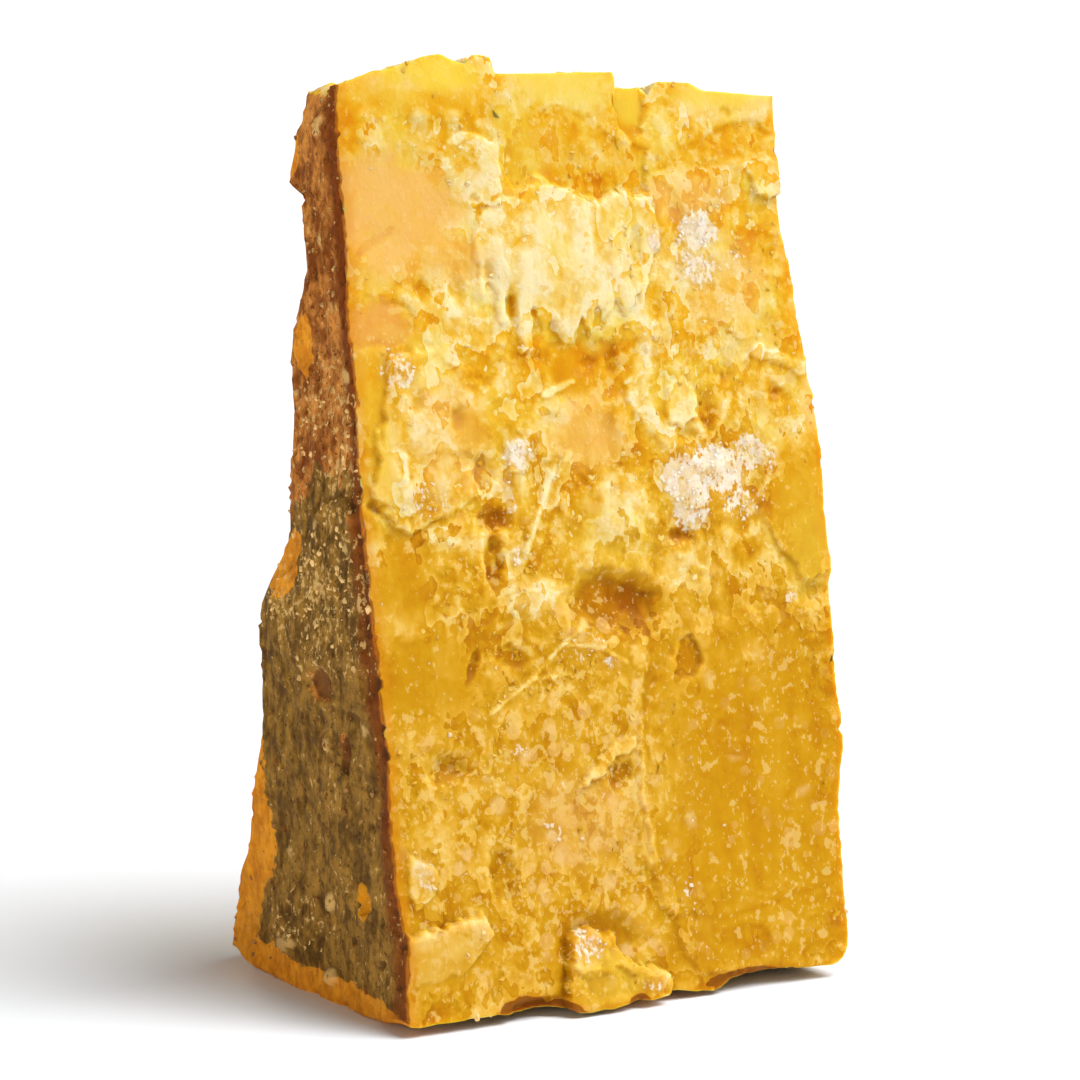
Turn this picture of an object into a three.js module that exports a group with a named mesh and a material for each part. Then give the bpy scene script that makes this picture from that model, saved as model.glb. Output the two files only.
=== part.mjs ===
// A wedge of aged alpine cheese, standing on its heel with its broken tip upwards.
//
// The wedge is a narrow sector of a large flat wheel. Its two flat sides, x low and x high, are the
// wheel's flat rinds. Its underside is the wheel's rim, and carries rind too. The front and the back
// are the two cuts towards the wheel's centre, which broke along the curd and left flakes and hollows.
// The top is where the tip of the sector snapped off. It is one solid piece.
//
// Millimetres, +Z up. The origin is under the middle of the wedge, on the surface that it stands on.

import * as THREE from "three";

// Driving dimensions
const WHEEL_RADIUS = 243; // of the wheel that the wedge was cut from
const WHEEL_THICKNESS = 110; // between the wheel's flat rinds at their edges
const SECTOR_ANGLE = THREE.MathUtils.degToRad(19); // between the two cuts
const HEEL_DEPTH = 81; // between the two cuts, at the rim
const FLAT_SPOT_SAG = 0.8; // how far the rim has settled where the wedge stands on it
const LEFT_RIM_CORNER = 0.6; // radii between the rim and the flat rinds
const RIGHT_RIM_CORNER = 5;
const LEFT_RIND_SWELL = 1.8; // how far the left rind bows out at mid height
const TIP_FALL = 0.22; // how steeply the snapped tip falls towards the back

// Facets of the finished solid
const LEVELS = 70;
const FRONT_COLUMNS = 44;
const BACK_COLUMNS = 18;
const SIDE_COLUMNS = 8;

// Outline of the snapped tip: [across the front from the left rind, height]
const TIP_OUTLINE = [
  [0, 196.5], [10, 199.5], [25, 203], [31, 201], [34, 203], [37, 202.5], [38.5, 199], [68, 199.5],
  [69, 196], [75, 196], [77, 194.5], [80, 197.5], [87, 197.3], [92, 195.5], [110, 194.5],
];

// Lower edge of the front cut, chipped beside a hanging chunk: [across, height]
const FOOT_OUTLINE = [
  [0, 2.5], [32, 2.5], [43, 1.2], [55, 2], [63, 2.4], [74, 1.2], [80, 3.2], [90, 4], [104, 3.2],
];
const FOOT_REACH = 12; // how far under the rim that edge is felt

// Outline of the rind where it meets the back cut: [height, depth behind the front of the heel]
const BACK_EDGE_OUTLINE = [
  [0, 87], [18, 80.5], [32, 72.5], [60, 65.5], [80, 66.5], [102, 53], [126, 48.5], [138, 50.5],
  [158, 44.5], [173, 47.5], [176, 53.5], [185, 50], [190, 46.5], [200, 43],
];
const BACK_EDGE_REACH = 44; // how far in from the left rind that outline shapes the back cut

// How far the right rind stands out past the edge of the tip: [height, swell]
const RIGHT_RIND_OUTLINE = [
  [0, 0], [36, 0.8], [46, 2], [51, 3.4], [75, 4.2], [100, 5], [128, 4.2], [133, 3], [150, 1.4],
  [165, -0.2], [200, 0],
];

// Relief of the front cut. at: across from the left rind, then up. half: half sizes. turn: degrees,
// anticlockwise. rise: out of the face if positive. edge: the share of the half size over which it
// falls away. lean: above 0 it is thickest at its upper edge, below 0 at its lower edge.
const FRONT_RELIEF = {
  tipSlot: { at: [72.4, 191], half: [4, 7], turn: 0, rise: -6, edge: 0.35, lean: 0 },
  tipRecess: { at: [55, 179.5], half: [19, 7], turn: -3, rise: -3.4, edge: 0.4, lean: -0.5 },
  tipRightRecess: { at: [95, 184], half: [15, 6], turn: 8, rise: -2.2, edge: 0.4, lean: 0.5 },
  tipLeftSwell: { at: [24, 195], half: [16, 9], turn: 8, rise: 1.6, edge: 0.8, lean: 0.2 },
  rightFlakeHigh: { at: [104.5, 176.5], half: [5, 4.2], turn: -20, rise: 1.8, edge: 0.3, lean: -0.4 },
  upperLeftPlane: { at: [11, 173], half: [15, 13], turn: 12, rise: -1.2, edge: 0.4, lean: 0 },
  midMass: { at: [49, 160], half: [21, 17], turn: -6, rise: 5.2, edge: 0.32, lean: -0.15 },
  midMassLobe: { at: [36, 149], half: [5, 11], turn: 4, rise: 2.6, edge: 0.5, lean: -0.3 },
  midMassRecess: { at: [54, 137], half: [13, 8.5], turn: 4, rise: -4.6, edge: 0.55, lean: 0.5 },
  midRidgeHigh: { at: [70, 139], half: [4, 9], turn: 4, rise: 3.6, edge: 0.6, lean: 0 },
  midRidgeLow: { at: [70, 124], half: [4.5, 7], turn: 35, rise: 2.8, edge: 0.6, lean: 0 },
  ridgeHollowHigh: { at: [70.5, 162], half: [3, 7.5], turn: -4, rise: -4, edge: 0.6, lean: 0 },
  rightCrumbs: { at: [88, 147], half: [15, 14], turn: 0, rise: 1.4, edge: 0.6, lean: 0.3 },
  rightCrumbHollow: { at: [85.5, 126], half: [4, 6], turn: 10, rise: -3, edge: 0.6, lean: 0 },
  rightCrumbLobe: { at: [78, 128], half: [5, 5], turn: 0, rise: 1.8, edge: 0.5, lean: 0 },
  leftHollowHigh: { at: [24, 156], half: [8, 5], turn: 10, rise: -2.4, edge: 0.7, lean: 0 },
  leftPlateau: { at: [8, 147], half: [8.5, 6.5], turn: -12, rise: -1.8, edge: 0.25, lean: 0 },
  leftBlock: { at: [15.5, 124], half: [10.5, 18], turn: -3, rise: 3, edge: 0.2, lean: 0.1 },
  leftBlockFoot: { at: [6, 111.5], half: [7, 4.5], turn: -35, rise: 2.2, edge: 0.25, lean: -0.3 },
  leftBlockDimple: { at: [13, 131], half: [4.5, 4], turn: 0, rise: -2.2, edge: 0.8, lean: 0 },
  tornPitHigh: { at: [30, 105], half: [6, 4], turn: -8, rise: -4.4, edge: 0.7, lean: 0 },
  tornPitLow: { at: [29, 97], half: [2.8, 8], turn: -6, rise: -4, edge: 0.6, lean: 0 },
  tornRib: { at: [41, 106], half: [3, 15], turn: -28, rise: 2.6, edge: 0.7, lean: 0 },
  midPlate: { at: [62, 106], half: [12, 12], turn: 15, rise: 1.8, edge: 0.35, lean: -0.3 },
  deepHollow: { at: [60, 86], half: [12, 6.5], turn: -8, rise: -7, edge: 0.75, lean: 0.3 },
  deepHollowSill: { at: [44, 88], half: [9, 5], turn: 20, rise: 1.6, edge: 0.7, lean: 0 },
  brownHollow: { at: [74.5, 73.5], half: [5, 6.5], turn: -10, rise: -4.2, edge: 0.6, lean: 0.2 },
  smallHollow: { at: [74, 98.5], half: [5, 3], turn: 0, rise: -2.8, edge: 0.7, lean: 0 },
  chalkPatch: { at: [83, 110], half: [13, 9], turn: 18, rise: 1.4, edge: 0.5, lean: 0 },
  rightPlate: { at: [107, 103], half: [10, 16.5], turn: 0, rise: 2, edge: 0.2, lean: -0.5 },
  lowBreak: { at: [40, 47], half: [21, 22], turn: 0, rise: -1.7, edge: 0.14, lean: 0 },
  lowBreakLedge: { at: [51, 57.5], half: [10, 3.4], turn: 20, rise: 2, edge: 0.35, lean: -0.5 },
  lowBreakNook: { at: [55.5, 49], half: [5, 4], turn: 20, rise: -2.2, edge: 0.6, lean: 0.4 },
  leftDish: { at: [14, 54.5], half: [8.5, 5.5], turn: 0, rise: -2.8, edge: 0.8, lean: 0 },
  leftFacet: { at: [9, 17], half: [13, 7], turn: 11, rise: 1.9, edge: 0.3, lean: 0.6 },
  archHollow: { at: [48, 15], half: [14, 7.5], turn: -4, rise: -5.4, edge: 0.45, lean: 0.3 },
  archChunk: { at: [49.5, 7], half: [12, 8.5], turn: -14, rise: 6.4, edge: 0.3, lean: 0 },
  footCrevice: { at: [30, 3], half: [8, 2.6], turn: 4, rise: -3.6, edge: 0.6, lean: 0 },
  footChip: { at: [90, 1], half: [15, 5], turn: -3, rise: -3, edge: 0.5, lean: -0.4 },
};

// Calm stretches of the front cut, where the knife or a clean cleavage left little roughness
const CALM_PATCHES = [
  { at: [90, 46], half: [30, 42] },
  { at: [106, 103], half: [12, 16] },
  { at: [11, 173], half: [17, 13] },
  { at: [4, 140], half: [5, 34] },
  { at: [12, 84], half: [15, 22] },
];
const CALM_SHARE = 0.25; // how much roughness is left there
const CRUMB_SIZE = 5.5; // of the curd grains that the break follows
const CRUMB_HEIGHT = 1.3;
const BREAK_WAVE = 15; // slower waves of the break
const BREAK_HEIGHT = 1.1;

// The back cut is made by the same rule from seeded draws
const BACK_SEED = 71;
const BACK_FLAKES = 26;
const BACK_FLAKE_HALF = [5, 13];
const BACK_FLAKE_RISE = 3.2;

// Pits of the left rind: at is behind the front of the heel, then up
const LEFT_RIND_RELIEF = {
  redPit: { at: [38, 69.5], half: [8, 4.5], turn: 0, rise: -1.5, edge: 0.5, lean: 0 },
  scar: { at: [29, 55], half: [3, 5], turn: 10, rise: -1.6, edge: 0.5, lean: 0 },
  mossPit: { at: [21.5, 25], half: [4.5, 3], turn: 0, rise: -1.4, edge: 0.6, lean: 0 },
  bloomShelf: { at: [40, 88], half: [24, 21], turn: 0, rise: 1, edge: 0.2, lean: 0.4 },
};
const RIND_WAVE = 17;
const RIND_HEIGHT = 0.9;

const lerp = THREE.MathUtils.lerp;
const smoothstep = THREE.MathUtils.smoothstep;
const clamp = THREE.MathUtils.clamp;

// Seeded noise

/** A repeatable draw from 0 to 1 for a lattice cell. */
function draw(column, row, seed) {
  let bits = Math.imul(column, 374761393) ^ Math.imul(row, 668265263) ^ Math.imul(seed, 2147483647);
  bits = Math.imul(bits ^ (bits >>> 13), 1274126177);
  bits = Math.imul(bits ^ (bits >>> 16), 2246822519);
  return ((bits ^ (bits >>> 15)) >>> 0) / 4294967296;
}

/** Smooth noise from -1 to 1. */
function waves(x, y, seed) {
  const column = Math.floor(x);
  const row = Math.floor(y);
  const across = smoothstep(x - column, 0, 1);
  const up = smoothstep(y - row, 0, 1);
  const low = lerp(draw(column, row, seed), draw(column + 1, row, seed), across);
  const high = lerp(draw(column, row + 1, seed), draw(column + 1, row + 1, seed), across);
  return 2 * lerp(low, high, up) - 1;
}

/** Curd grains, each a tilted facet at its own height, from about -1 to 1. */
function crumbs(x, y, seed) {
  const column = Math.floor(x);
  const row = Math.floor(y);
  let nearest = Infinity;
  let height = 0;
  for (let i = column - 1; i <= column + 1; i++) {
    for (let j = row - 1; j <= row + 1; j++) {
      const dx = x - i - draw(i, j, seed);
      const dy = y - j - draw(i, j, seed + 1);
      const distance = Math.hypot(dx, dy);
      if (distance < nearest) {
        nearest = distance;
        const tiltX = draw(i, j, seed + 2) - 0.5;
        const tiltY = draw(i, j, seed + 3) - 0.5;
        height = 1.4 * (draw(i, j, seed + 4) - 0.5) + tiltX * dx + tiltY * dy;
      }
    }
  }
  return height;
}

// Relief

/** The height along an outline of points, eased from each point to the next. */
function along(outline, place) {
  const next = outline.findIndex(([start]) => start > place);
  if (next === 0) return outline[0][1];
  if (next < 0) return outline[outline.length - 1][1];
  const [from, low] = outline[next - 1];
  const [to, high] = outline[next];
  return lerp(low, high, smoothstep(place, from, to));
}

/** How far inside a patch a point is: 1 over its middle, 0 from its ragged edge outwards. */
function cover({ at, half, turn = 0, edge = 0.5 }, across, up) {
  const angle = THREE.MathUtils.degToRad(turn);
  const dx = across - at[0];
  const dy = up - at[1];
  const x = (dx * Math.cos(angle) + dy * Math.sin(angle)) / half[0];
  const y = (dy * Math.cos(angle) - dx * Math.sin(angle)) / half[1];
  const ragged = 0.16 * waves(across / 3.5, up / 3.5, 11) + 0.14 * waves(across / 8, up / 8, 12);
  return { share: 1 - smoothstep(Math.hypot(x, y) + ragged, 1 - edge, 1), y };
}

/** The summed relief of some patches. */
function patches(relief, across, up) {
  let sum = 0;
  for (const patch of relief) {
    const { share, y } = cover(patch, across, up);
    if (share > 0) sum += patch.rise * share * Math.max(0, 1 + patch.lean * y);
  }
  return sum;
}

/** The uneven break along curd grains, before it is calmed. */
function broken(across, up, seed) {
  const bentAcross = across + 2 * waves(across / 9, up / 9, seed);
  const bentUp = up + 2 * waves(across / 9, up / 9, seed + 1);
  return (
    CRUMB_HEIGHT * crumbs(bentAcross / CRUMB_SIZE, bentUp / CRUMB_SIZE, seed + 2) +
    BREAK_HEIGHT * waves(across / BREAK_WAVE, up / BREAK_WAVE, seed + 6)
  );
}

/** The share of roughness left at a point of the front cut. */
function roughShare(across, up) {
  const calm = CALM_PATCHES.map((patch) => cover(patch, across, up).share);
  return lerp(1, CALM_SHARE, Math.max(...calm));
}

/** Flakes and hollows of the back cut, spread evenly over it. */
function backFlakes() {
  const rows = Math.ceil(BACK_FLAKES / 3);
  return Array.from({ length: BACK_FLAKES }, (_, index) => {
    const any = (kind) => draw(index, kind, BACK_SEED);
    const column = index % 3;
    const row = Math.floor(index / 3);
    return {
      at: [(column + 0.2 + 0.6 * any(1)) * (WHEEL_THICKNESS / 3), (row + any(2)) * (190 / rows)],
      half: [lerp(...BACK_FLAKE_HALF, any(3)), lerp(...BACK_FLAKE_HALF, any(4))],
      turn: 180 * any(5),
      rise: BACK_FLAKE_RISE * (1.7 * any(6) - 0.9),
      edge: lerp(0.2, 0.7, any(7)),
      lean: lerp(-0.5, 0.5, any(8)),
    };
  });
}

// Surfaces of the wedge

const frontPatches = Object.values(FRONT_RELIEF);
const backPatches = backFlakes();
const leftRindPatches = Object.values(LEFT_RIND_RELIEF);
const tallest = Math.max(...TIP_OUTLINE.map(([, height]) => height));
const cutSlope = Math.tan(SECTOR_ANGLE / 2);

/** Depth of the front cut's surface at a point of it, towards the back. */
function frontCut(across, up) {
  const rough = broken(across, up, 21) * roughShare(across, up) * smoothstep(across, -2, 5);
  return -HEEL_DEPTH / 2 + cutSlope * up - patches(frontPatches, across, up) - rough;
}

/** Depth of the back cut's surface, which follows the rind's own uneven edge near the left rind. */
function backCut(across, up) {
  const cleanCut = HEEL_DEPTH / 2 - cutSlope * up;
  const rindEdge = along(BACK_EDGE_OUTLINE, up) - HEEL_DEPTH / 2;
  const bent = across + 14 * waves(across / 30, up / 30, 45);
  const near = 1 - smoothstep(Math.min(across, bent), 0, BACK_EDGE_REACH);
  const inside = smoothstep(across, 0, 12);
  const relief = patches(backPatches, across, up) + 0.7 * broken(across, up, 41);
  return lerp(cleanCut, rindEdge, near) + inside * relief;
}

/** Place of the left rind's surface across the wedge. */
function leftRind(behind, up) {
  const swell = LEFT_RIND_SWELL * Math.sin(Math.PI * clamp(up / tallest, 0, 1));
  const relief = RIND_HEIGHT * waves(behind / RIND_WAVE, up / RIND_WAVE, 51);
  return -swell - relief - patches(leftRindPatches, behind, up);
}

/** Place of the right rind's surface across the wedge. */
function rightRind(behind, up) {
  const relief = RIND_HEIGHT * waves(behind / RIND_WAVE, up / RIND_WAVE, 61);
  const pastEdge = Math.max(0, behind - cutSlope * up);
  const bentUp = up + 0.6 * pastEdge * waves(pastEdge / 22, up / 60, 62);
  return WHEEL_THICKNESS + along(RIGHT_RIND_OUTLINE, bentUp) + relief;
}

/** How much a rounded corner lifts the rim at a distance from the rind. */
function cornerLift(radius, fromRind) {
  const inCorner = clamp(radius - fromRind, 0, radius);
  return radius - Math.sqrt(radius ** 2 - inCorner ** 2);
}

/** Height of the rim: curved, rounded to the rinds, chipped in front, and flat where it stands. */
function rim(across, depth) {
  const curve = WHEEL_RADIUS - Math.sqrt(WHEEL_RADIUS ** 2 - depth ** 2) - FLAT_SPOT_SAG;
  const behindFoot = smoothstep(depth + HEEL_DEPTH / 2, 0, FOOT_REACH);
  const edge = lerp(along(FOOT_OUTLINE, across), curve, behindFoot);
  const left = cornerLift(LEFT_RIM_CORNER, across);
  const right = cornerLift(RIGHT_RIM_CORNER, WHEEL_THICKNESS - across);
  return Math.max(0, edge + left + right);
}

/** Height of the snapped tip. */
function tip(across, behind) {
  return along(TIP_OUTLINE, across + 0.25 * behind) - TIP_FALL * behind;
}

/** A point of the wedge from shares across it, from front to back, and from rim to tip. */
function pointOf(acrossShare, backShare, upShare) {
  const across = acrossShare * WHEEL_THICKNESS;
  const low = rim(across, (backShare - 0.5) * HEEL_DEPTH);
  const tipDepth = HEEL_DEPTH - 2 * cutSlope * tallest;
  const up = lerp(low, tip(across, backShare * tipDepth), upShare);
  const behind = backShare * (HEEL_DEPTH - cutSlope * up) + (1 - backShare) * cutSlope * up;
  const x = lerp(leftRind(behind, up), rightRind(behind, up), acrossShare);
  const y = lerp(frontCut(x, up), backCut(x, up), backShare);
  return new THREE.Vector3(x, y, up);
}

// The closed skin: one ring of points for each level, with a cap below and above

const points = [];
const triangles = [];

/** Adds a point and returns its number. */
function addPoint(acrossShare, backShare, upShare) {
  points.push(pointOf(acrossShare, backShare, upShare));
  return points.length - 1;
}

/** Points at even steps from a start share to an end share, without the last one. */
function steps(count, start, end, place) {
  return Array.from({ length: count }, (_, index) => place(lerp(start, end, index / count)));
}

/** One ring: the front from left to right, the right rind, the back, and the left rind. */
function ringAt(up) {
  return [
    ...steps(FRONT_COLUMNS, 0, 1, (across) => addPoint(across, 0, up)),
    ...steps(SIDE_COLUMNS, 0, 1, (back) => addPoint(1, back, up)),
    ...steps(BACK_COLUMNS, 1, 0, (across) => addPoint(across, 1, up)),
    ...steps(SIDE_COLUMNS, 1, 0, (back) => addPoint(0, back, up)),
  ];
}

/** Fills a quad with two triangles, along its shorter diagonal. */
function fillQuad(a, b, c, d) {
  const straight = points[a].distanceTo(points[c]) < points[b].distanceTo(points[d]);
  triangles.push(...(straight ? [a, b, c, a, c, d] : [a, b, d, b, c, d]));
}

/** Fills the strip between two rows that run the same way, whatever their counts of points. */
function fillStrip(front, back) {
  let i = 0;
  let j = 0;
  while (i < front.length - 1 || j < back.length - 1) {
    const nextFront = (i + 1) / (front.length - 1);
    const nextBack = (j + 1) / (back.length - 1);
    if (j === back.length - 1 || (i < front.length - 1 && nextFront <= nextBack)) {
      triangles.push(front[i], front[i + 1], back[j]);
      i += 1;
    } else {
      triangles.push(front[i], back[j + 1], back[j]);
      j += 1;
    }
  }
}

/** Rows of a cap from the front edge to the back edge, each from left to right. */
function capRows(ring, up) {
  const rightStart = FRONT_COLUMNS;
  const backStart = rightStart + SIDE_COLUMNS;
  const leftStart = backStart + BACK_COLUMNS;
  const rows = [ring.slice(0, rightStart + 1)];
  for (let row = 1; row < SIDE_COLUMNS; row++) {
    const inner = steps(BACK_COLUMNS, 0, 1, (across) => across).slice(1);
    rows.push([
      ring[leftStart + SIDE_COLUMNS - row],
      ...inner.map((across) => addPoint(across, row / SIDE_COLUMNS, up)),
      ring[rightStart + row],
    ]);
  }
  rows.push(ring.slice(backStart, leftStart + 1).reverse());
  return rows;
}

/** Fills a cap, turned to face up or down. */
function fillCap(ring, up) {
  const rows = capRows(ring, up);
  const facesUp = up > 0.5;
  for (let row = 0; row < rows.length - 1; row++) {
    const first = triangles.length;
    fillStrip(rows[row], rows[row + 1]);
    if (facesUp) continue;
    for (let corner = first; corner < triangles.length; corner += 3) {
      [triangles[corner + 1], triangles[corner + 2]] = [triangles[corner + 2], triangles[corner + 1]];
    }
  }
}

const rings = Array.from({ length: LEVELS + 1 }, (_, level) => ringAt(level / LEVELS));
for (let level = 0; level < LEVELS; level++) {
  const low = rings[level];
  const high = rings[level + 1];
  low.forEach((start, index) => {
    const next = (index + 1) % low.length;
    fillQuad(start, low[next], high[next], high[index]);
  });
}
fillCap(rings[0], 0);
fillCap(rings[LEVELS], 1);

const geometry = new THREE.BufferGeometry().setFromPoints(points);
geometry.setIndex(triangles);
geometry.computeBoundingBox();
const middle = geometry.boundingBox.getCenter(new THREE.Vector3());
geometry.translate(-middle.x, -middle.y, 0);
geometry.computeVertexNormals();

const paste = new THREE.MeshStandardMaterial({ color: 0xdfa62c, roughness: 0.55, metalness: 0 });
const wedge = new THREE.Mesh(geometry, paste);
wedge.name = "cheese_wedge";

const cheese = new THREE.Group();
cheese.add(wedge);
export default cheese;
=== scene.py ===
# %% [markdown]
# # A wedge of aged alpine cheese
# The wedge is a narrow sector of a large flat wheel. It stands on the wheel's rim with its broken tip
# upwards. Its two flat sides and its underside carry a dry brown rind. The front and the back are cuts
# that broke along the curd, so they are full of flakes, hollows and white crystals.
#
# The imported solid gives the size, the place and the main forms. This lesson makes the same wedge again
# as one fine skin, adds the smaller relief that the break left, paints paste and rind with nodes, and
# scatters loose flakes, crystals and crumbs over it.

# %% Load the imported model
import math
from collections import namedtuple

import bpy
import numpy as np
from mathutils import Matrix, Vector


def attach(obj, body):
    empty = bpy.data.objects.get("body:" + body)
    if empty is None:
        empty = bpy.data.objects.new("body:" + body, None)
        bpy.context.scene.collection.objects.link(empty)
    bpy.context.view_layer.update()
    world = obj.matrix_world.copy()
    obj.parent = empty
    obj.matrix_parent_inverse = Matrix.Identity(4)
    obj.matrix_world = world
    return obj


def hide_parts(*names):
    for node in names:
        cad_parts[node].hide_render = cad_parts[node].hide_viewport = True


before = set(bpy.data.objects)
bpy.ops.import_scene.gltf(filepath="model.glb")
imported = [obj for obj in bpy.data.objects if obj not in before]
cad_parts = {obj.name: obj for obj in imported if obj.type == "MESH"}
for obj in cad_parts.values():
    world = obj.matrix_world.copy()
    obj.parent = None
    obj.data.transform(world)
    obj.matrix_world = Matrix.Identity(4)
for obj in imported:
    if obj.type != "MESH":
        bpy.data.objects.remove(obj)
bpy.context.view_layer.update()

# %% [markdown]
# ## Sizes
# These are the wedge's own sizes, in millimetres, as the solid has them. The skin is worked out in the
# cut face's own places: across from the left rind, up from the table, and behind the front of the heel.
# Only the last step moves it into the model's frame and into metres.

# %% Sizes of the wedge
MM = 0.001
WHEEL_RADIUS = 243.0
WHEEL_THICKNESS = 110.0
CUT_SLOPE = math.tan(math.radians(19.0) / 2)
HEEL_DEPTH = 81.0
FLAT_SPOT_SAG = 0.8
LEFT_RIM_CORNER = 0.6
RIGHT_RIM_CORNER = 5.0
LEFT_RIND_SWELL = 1.8
TIP_FALL = 0.22
FRAME_MIDDLE = (56.246, -0.687)  # the model's origin, across and behind the middle of the heel

TIP_OUTLINE = [
    (0, 196.5), (10, 199.5), (25, 203), (31, 201), (34, 203), (37, 202.5), (38.5, 199), (68, 199.5),
    (69, 196), (75, 196), (77, 194.5), (80, 197.5), (87, 197.3), (92, 195.5), (110, 194.5),
]
FOOT_OUTLINE = [
    (0, 2.5), (32, 2.5), (43, 1.2), (55, 2), (63, 2.4), (74, 1.2), (80, 3.2), (90, 4), (104, 3.2),
]
FOOT_REACH = 12.0
BACK_EDGE_OUTLINE = [
    (0, 87), (18, 80.5), (32, 72.5), (60, 65.5), (80, 66.5), (102, 53), (126, 48.5), (138, 50.5),
    (158, 44.5), (173, 47.5), (176, 53.5), (185, 50), (190, 46.5), (200, 43),
]
BACK_EDGE_REACH = 44.0
RIGHT_RIND_OUTLINE = [
    (0, 0), (36, 0.8), (46, 2), (51, 3.4), (75, 4.2), (100, 5), (128, 4.2), (133, 3), (150, 1.4),
    (165, -0.2), (200, 0),
]
TALLEST = max(height for _, height in TIP_OUTLINE)
print("wheel", 2 * WHEEL_RADIUS, "across, wedge", WHEEL_THICKNESS, "x", HEEL_DEPTH, "x", TALLEST)

# %% [markdown]
# ## Noise for a broken surface
# Curd breaks unevenly, but not like static: there are slow waves, grains with flat facets, and layers that
# peel off as level plates. Blender's own noise can't be called for many points at once from Python, so the
# kinds are written here on whole arrays. Each lattice cell gets a repeatable draw, so every run gives the
# same wedge.


# %% Repeatable draws and waves
def draw(column, row, seed):
    """A draw from 0 to 1 for each lattice cell."""
    column = np.atleast_1d(column).astype(np.int64).astype(np.uint32)
    row = np.atleast_1d(row).astype(np.int64).astype(np.uint32)
    bits = column * np.uint32(374761393) ^ row * np.uint32(668265263)
    bits = bits ^ np.uint32(seed * 2147483647 & 0xFFFFFFFF)
    bits = (bits ^ bits >> np.uint32(13)) * np.uint32(1274126177)
    bits = (bits ^ bits >> np.uint32(16)) * np.uint32(2246822519)
    return (bits ^ bits >> np.uint32(15)) / 4294967296.0


def lerp(low, high, share):
    return low + (high - low) * share


def ease(value, start, end):
    """0 before start, 1 after end, and a smooth step between them."""
    share = np.clip((value - start) / (end - start), 0, 1)
    return share * share * (3 - 2 * share)


def waves(x, y, seed):
    """Smooth noise from -1 to 1."""
    column, row = np.floor(x), np.floor(y)
    across, up = ease(x - column, 0, 1), ease(y - row, 0, 1)
    low = lerp(draw(column, row, seed), draw(column + 1, row, seed), across)
    high = lerp(draw(column, row + 1, seed), draw(column + 1, row + 1, seed), across)
    return 2 * lerp(low, high, up) - 1


def layered(x, y, seed, layers=4):
    """Waves with finer and weaker ones over them, each layer turned a little."""
    total, weight = 0.0, 1.0
    for layer in range(layers):
        total = total + weight * waves(x, y, seed + 7 * layer)
        x, y, weight = 1.9 * (0.8 * x - 0.6 * y), 1.9 * (0.6 * x + 0.8 * y), 0.5 * weight
    return total / 1.6


print("draw at a cell:", draw(3, 5, 11).round(4))


# %% Grains and peeled layers
def grains(x, y, seed):
    """Curd grains: each one's tilted facet, and its shade, a random tone with painted light, palest at its
    lower lip.
    """
    column, row = np.floor(x), np.floor(y)
    first = np.full(np.shape(x), 9.0)
    facet = np.zeros(np.shape(x))
    shade = np.zeros(np.shape(x))
    for i in (-1, 0, 1):
        for j in (-1, 0, 1):
            cell = column + i, row + j
            dx = x - cell[0] - draw(*cell, seed)
            dy = y - cell[1] - draw(*cell, seed + 1)
            away = np.hypot(dx, dy)
            tilt = (draw(*cell, seed + 2) - 0.5) * dx + (draw(*cell, seed + 3) - 0.5) * dy
            own = draw(*cell, seed + 4) - 0.5
            nearer = away < first
            facet = np.where(nearer, 1.4 * own + 1.6 * tilt, facet)
            shade = np.where(nearer, 0.8 * own + 1.2 * tilt - 0.4 * dy, shade)
            first = np.where(nearer, away, first)
    return facet, shade


def terraces(x, y, seed, steps):
    """Peeled layers: level plates with ragged outlines, and how near each point is to its plate's lip."""
    lift = steps * layered(x, y, seed, 5)
    level = np.floor(lift)
    return (level + ease(lift - level, 0.72, 1.0)) / steps, 1 - (lift - level)


print("steps of a peeled layer:", np.ptp(terraces(np.linspace(0, 9, 400), np.zeros(400), 3, 2.0)[0]).round(2))

# %% [markdown]
# ## Forms that are placed one by one
# A photo shows where each hollow, flake and ridge is. Sculpting by hand can't be repeated, so each form is
# a named entry: a dish is a soft oval bowl or swell, a slab is a flat piece with a broken outline, and a
# ridge follows a few points. Each one lifts or sinks the face by some millimetres, and also says how pale
# or how deep the paste looks there: fresh breaks are pale and hollows are orange, partly in the paste's own
# colour and partly as painted light on thin lips and painted shade in hollows. A slab can lean, so that one
# side of it stands out and the other runs into the face.

# %% Dishes, slabs and ridges
Dish = namedtuple("Dish", "across up half_across half_up turn rise tone edge")
Slab = namedtuple("Slab", "points rise tone edge lean")
Ridge = namedtuple("Ridge", "points width rise tone")


def ragged(across, up):
    """How uneven an outline is at a point, in millimetres."""
    coarse = 1.3 * layered(across / 6, up / 6, 12)
    return coarse + 0.6 * waves(across / 1.4, up / 1.4, 13)


def dish_cover(dish, across, up, uneven):
    """1 over the middle of a dish, 0 from its edge outwards."""
    angle = math.radians(dish.turn)
    dx, dy = across - dish.across, up - dish.up
    x = (dx * math.cos(angle) + dy * math.sin(angle)) / dish.half_across
    y = (dy * math.cos(angle) - dx * math.sin(angle)) / dish.half_up
    size = dish.half_across + dish.half_up
    return 1 - ease(np.hypot(x, y) + 1.8 * uneven / size, 1 - dish.edge, 1)


def segment_distance(across, up, start, end):
    """Distance to a line between two points."""
    sx, sy = end[0] - start[0], end[1] - start[1]
    share = ((across - start[0]) * sx + (up - start[1]) * sy) / (sx * sx + sy * sy)
    share = np.clip(share, 0, 1)
    return np.hypot(across - start[0] - share * sx, up - start[1] - share * sy)


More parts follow.
